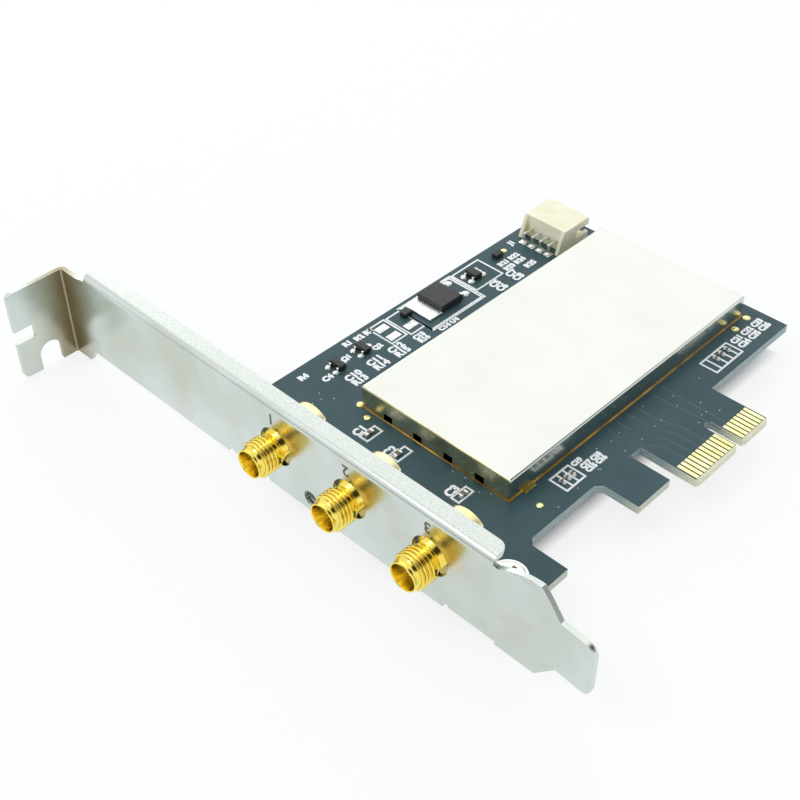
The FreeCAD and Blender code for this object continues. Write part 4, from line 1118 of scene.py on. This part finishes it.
def make_solder():
    """Solder at the leads' feet, capacitors' ends, pads and ring, by the header and under the board."""
    tin = (BRIGHT_TIN, "tinned_metal")
    gilt = (CONTACT_GOLD, "gold_plated_copper")
    feet = foot_points("transistor_first") + foot_points("transistor_second")
    lumps("transistor_solder", feet, TRANSISTOR_LUMP, *tin)
    lumps("switch_solder", foot_points("load_switch"), SWITCH_LUMP, *tin)
    lumps("regulator_solder", foot_points("regulator"), REGULATOR_LUMP, *tin)
    ends = [Vector((*spot.xy, BOARD_TOP)) for node in CAPACITOR_NODES for spot in end_points(node)]
    lumps("capacitor_solder", ends, CAPACITOR_LUMP, *tin)
    pins = solids_of("header_pads")
    lumps("header_solder", [middle_at(*span, BOARD_TOP) for span in pins], HEADER_LUMP, *tin)
    lumps("header_solder_below", [middle_at(*span, BOARD_LOW.z) for span in pins], HEADER_LUMP_BELOW, *tin)
    legs = []
    for port in PORTS:
        legs += [middle_at(*span, BOARD_LOW.z) for span in jack_legs(port)]
        low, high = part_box("jack_pin_" + port)
        legs.append(Vector((high.x - PIN_RADIUS * MM, (low.y + high.y) / 2, BOARD_LOW.z)))
    lumps("jack_solder_below", legs, JACK_LUMP_BELOW, *tin)
    dots = [middle_at(low, high, high.z) for low, high in solids_of("test_pads")]
    lumps("test_pad_domes", dots, TEST_PAD_DOME, *gilt)
    lumps("ring_corner_solder", [card(*CORNER_SPOT)], CORNER_LUMP, *gilt)
    spots = [(low + high) / 2 for low, high in solids_of("tinned_pads")]
    lumps("pad_solder", spots, PAD_LUMP, *tin)


HIDDEN_FINISHES = {
    "radio_chip": EPOXY, "front_end_first": EPOXY, "front_end_second": EPOXY, "front_end_third": EPOXY,
    "memory_chip": EPOXY, "inductor_first": EPOXY, "inductor_second": EPOXY,
    "reference_crystal": BRIGHT_TIN, "decoupling_capacitors": CERAMIC,
}


def paint_hidden():
    """Parts under the can keep their solids and get their own finishes."""
    for node, material in HIDDEN_FINISHES.items():
        materials = frame["nodes"][node].data.materials
        materials.clear()
        materials.append(material)


# Studio

FLOOR_REACH = 4.0
FLOOR_WHITE = 0.83
FIBRE_CLOUD = 400
# millimetres of the board left out of the shaded patch below it: its legs, and the strip by the bracket
LEGS_DROP = 11.3
FACE_CLEAR = 1.6
# share of the patch's half size, inward and along, at which the lift towards white sets in
LIFT_STARTS = (("X", 0.975), ("Y", 0.88))


def seen_rays(tree):
    """One for rays from the eye, in a mirror or through glass, and nothing for light that bounces."""
    path = tree.nodes.new("ShaderNodeLightPath").outputs
    seen = path["Is Camera Ray"]
    for word in ("Is Glossy Ray", "Is Transmission Ray"):
        seen = add(tree, "ShaderNodeMath", {0: seen, 1: path[word]}, operation="MAXIMUM")
    return seen


def make_floor():
    """Pale paper floor: lifted towards white for the eye, so that shadows stay, but not below the board."""
    material, tree, spot = start_material("pale_paper_floor")
    fibre = add(tree, "ShaderNodeTexNoise", {"Vector": spot, "Scale": per(FIBRE_CLOUD), "Detail": 1.0})
    paper = add(tree, "ShaderNodeBsdfDiffuse", {"Color": blend(tree, fibre, "#F6FDFE", "#F9FEFF")})
    white = add(tree, "ShaderNodeEmission", {"Color": linear("#FFFFFF"), "Strength": 1.0})
    low = Vector((BOARD_LOW.x + FACE_CLEAR * MM, BOARD_LOW.y + LEGS_DROP * MM, 0))
    high = Vector((BOARD_HIGH.x, BOARD_HIGH.y, 1))
    shares = add(tree, "ShaderNodeMapping", {
        "Vector": spot, "Location": (low + high) / 2, "Scale": (high - low) / 2,
    }, vector_type="TEXTURE")
    away = add(tree, "ShaderNodeVectorMath", {0: shares}, operation="ABSOLUTE")
    lifts = [
        add(tree, "ShaderNodeMapRange", {
            "Value": add(tree, "ShaderNodeSeparateXYZ", {"Vector": away}, output=side),
            "From Min": start, "From Max": 1.0, "To Min": 0.0, "To Max": FLOOR_WHITE,
        })
        for side, start in LIFT_STARTS
    ]
    lift = add(tree, "ShaderNodeMath", {0: lifts[0], 1: lifts[1]}, operation="MAXIMUM")
    share = add(tree, "ShaderNodeMath", {0: seen_rays(tree), 1: lift}, operation="MULTIPLY")
    surface = add(tree, "ShaderNodeMixShader", {0: share, 1: paper, 2: white})
    add(tree, "ShaderNodeOutputMaterial", {"Surface": surface})
    corners = [(x * FLOOR_REACH, y * FLOOR_REACH, 0) for x, y in ((-1, -1), (1, -1), (1, 1), (-1, 1))]
    mesh = bpy.data.meshes.new("floor")
    mesh.from_pydata(corners, [], [(0, 1, 2, 3)])
    mesh.materials.append(material)
    floor = carrier("floor", mesh)
    floor.location.z = CAD_BOX[0].z


def softbox(name, at, side, energy):
    lamp = bpy.data.lights.new(name, "AREA")
    lamp.shape = "SQUARE"
    lamp.size = side
    lamp.energy = energy
    item = carrier(name, lamp)
    item.visible_camera = False
    item.location = at
    item.rotation_mode = "QUATERNION"
    item.rotation_quaternion = (-Vector(at)).to_track_quat("-Z", "Y")


# dark cards: place, half width and half height in metres
DARK_CARDS = (
    ((-0.58, -0.09, 0.27), 0.34, 0.26), ((-0.78, 0.36, 0.05), 0.40, 0.10),
    ((0.28, -0.38, 0.52), 0.34, 0.42), ((-0.27, -0.26, 0.38), 0.27, 0.27),
    ((0.23, -0.50, 0.23), 0.16, 0.13),
)
# share of a card's half size that is fully dark, and millimetres of its nap
CARD_CORE = 0.35
NAP_SIZE = 20


def make_dark_cards():
    """Feathered dark cards round the set, unseen by the camera, that draw dark lines in polished metal."""
    material, tree, spot = start_material("dark_card")
    nap = add(tree, "ShaderNodeTexNoise", {"Vector": spot, "Scale": per(NAP_SIZE), "Detail": 1.0})
    felt = add(tree, "ShaderNodeBsdfDiffuse", {"Color": blend(tree, nap, "#2A251A", "#3A3426")})
    clear = add(tree, "ShaderNodeBsdfTransparent")
    away = add(tree, "ShaderNodeVectorMath", {0: spot}, output="Value", operation="LENGTH")
    share = add(tree, "ShaderNodeMapRange", {
        "Value": away, "From Min": CARD_CORE, "From Max": 1.0,
    }, interpolation_type="SMOOTHSTEP")
    surface = add(tree, "ShaderNodeMixShader", {0: share, 1: felt, 2: clear})
    add(tree, "ShaderNodeOutputMaterial", {"Surface": surface})
    corners = [(-1, -1, 0), (1, -1, 0), (1, 1, 0), (-1, 1, 0)]
    for number, (at, width, height) in enumerate(DARK_CARDS, 1):
        mesh = bpy.data.meshes.new("dark_card")
        mesh.from_pydata(corners, [], [(0, 1, 2, 3)])
        mesh.materials.append(material)
        dark_card = carrier(f"dark_card_{number}", mesh)
        dark_card.location = at
        dark_card.scale = (width, height, 1)
        dark_card.rotation_mode = "QUATERNION"
        dark_card.rotation_quaternion = Vector(at).to_track_quat("Z", "Y")
        dark_card.visible_camera = False


# lamps: name, place, side in metres and watts
SOFTBOXES = (
    ("window", (0.85, 0.85, 1.15), 1.8, 3.2),
    ("side_light", (0.42, 0.82, 0.34), 0.22, 0.6),
    ("high_light", (-0.50, 0.27, 0.84), 0.26, 1.3),
)
ROOM_STRENGTH = 1.03


def make_studio():
    """Floor, dark cards, lamps, and a white room that is plain white where it is seen."""
    make_floor()
    make_dark_cards()
    for lamp in SOFTBOXES:
        softbox(*lamp)
    world = bpy.data.worlds.new("white_room")
    bpy.context.scene.world = world
    world.use_nodes = True
    tree = world.node_tree
    tree.nodes.clear()
    room = add(tree, "ShaderNodeBackground", {"Color": linear("#FBFDFF"), "Strength": ROOM_STRENGTH})
    white = add(tree, "ShaderNodeBackground", {"Color": linear("#FFFFFF"), "Strength": 1.0})
    add(tree, "ShaderNodeOutputWorld", {
        "Surface": add(tree, "ShaderNodeMixShader", {0: seen_rays(tree), 1: room, 2: white}),
    })


# camera fitted to the picture: place in metres, turn in degrees, lens in millimetres
CAMERA_AT = (-0.13101, -0.11464, 0.15229)
CAMERA_TURN = (48.429, 0.286, -45.977)
CAMERA_LENS = 58.433
CAMERA_SHIFT = (-0.0020, 0.0049)


def make_camera():
    lens = bpy.data.cameras.new("camera")
    lens.sensor_width = 36.0
    lens.lens = CAMERA_LENS
    lens.shift_x, lens.shift_y = CAMERA_SHIFT
    lens.clip_start = 0.01
    camera = carrier("camera", lens)
    camera.location = CAMERA_AT
    camera.rotation_euler = [math.radians(angle) for angle in CAMERA_TURN]
    bpy.context.scene.camera = camera
    bpy.context.scene.view_settings.view_transform = "Standard"


dress_bracket()
make_screws()
make_jacks()
dress_board()
make_ring()
run_tracks()
print_legend()
drill_vias()
dress_parts()
make_capacitors()
make_solder()
paint_hidden()
make_studio()
make_camera()
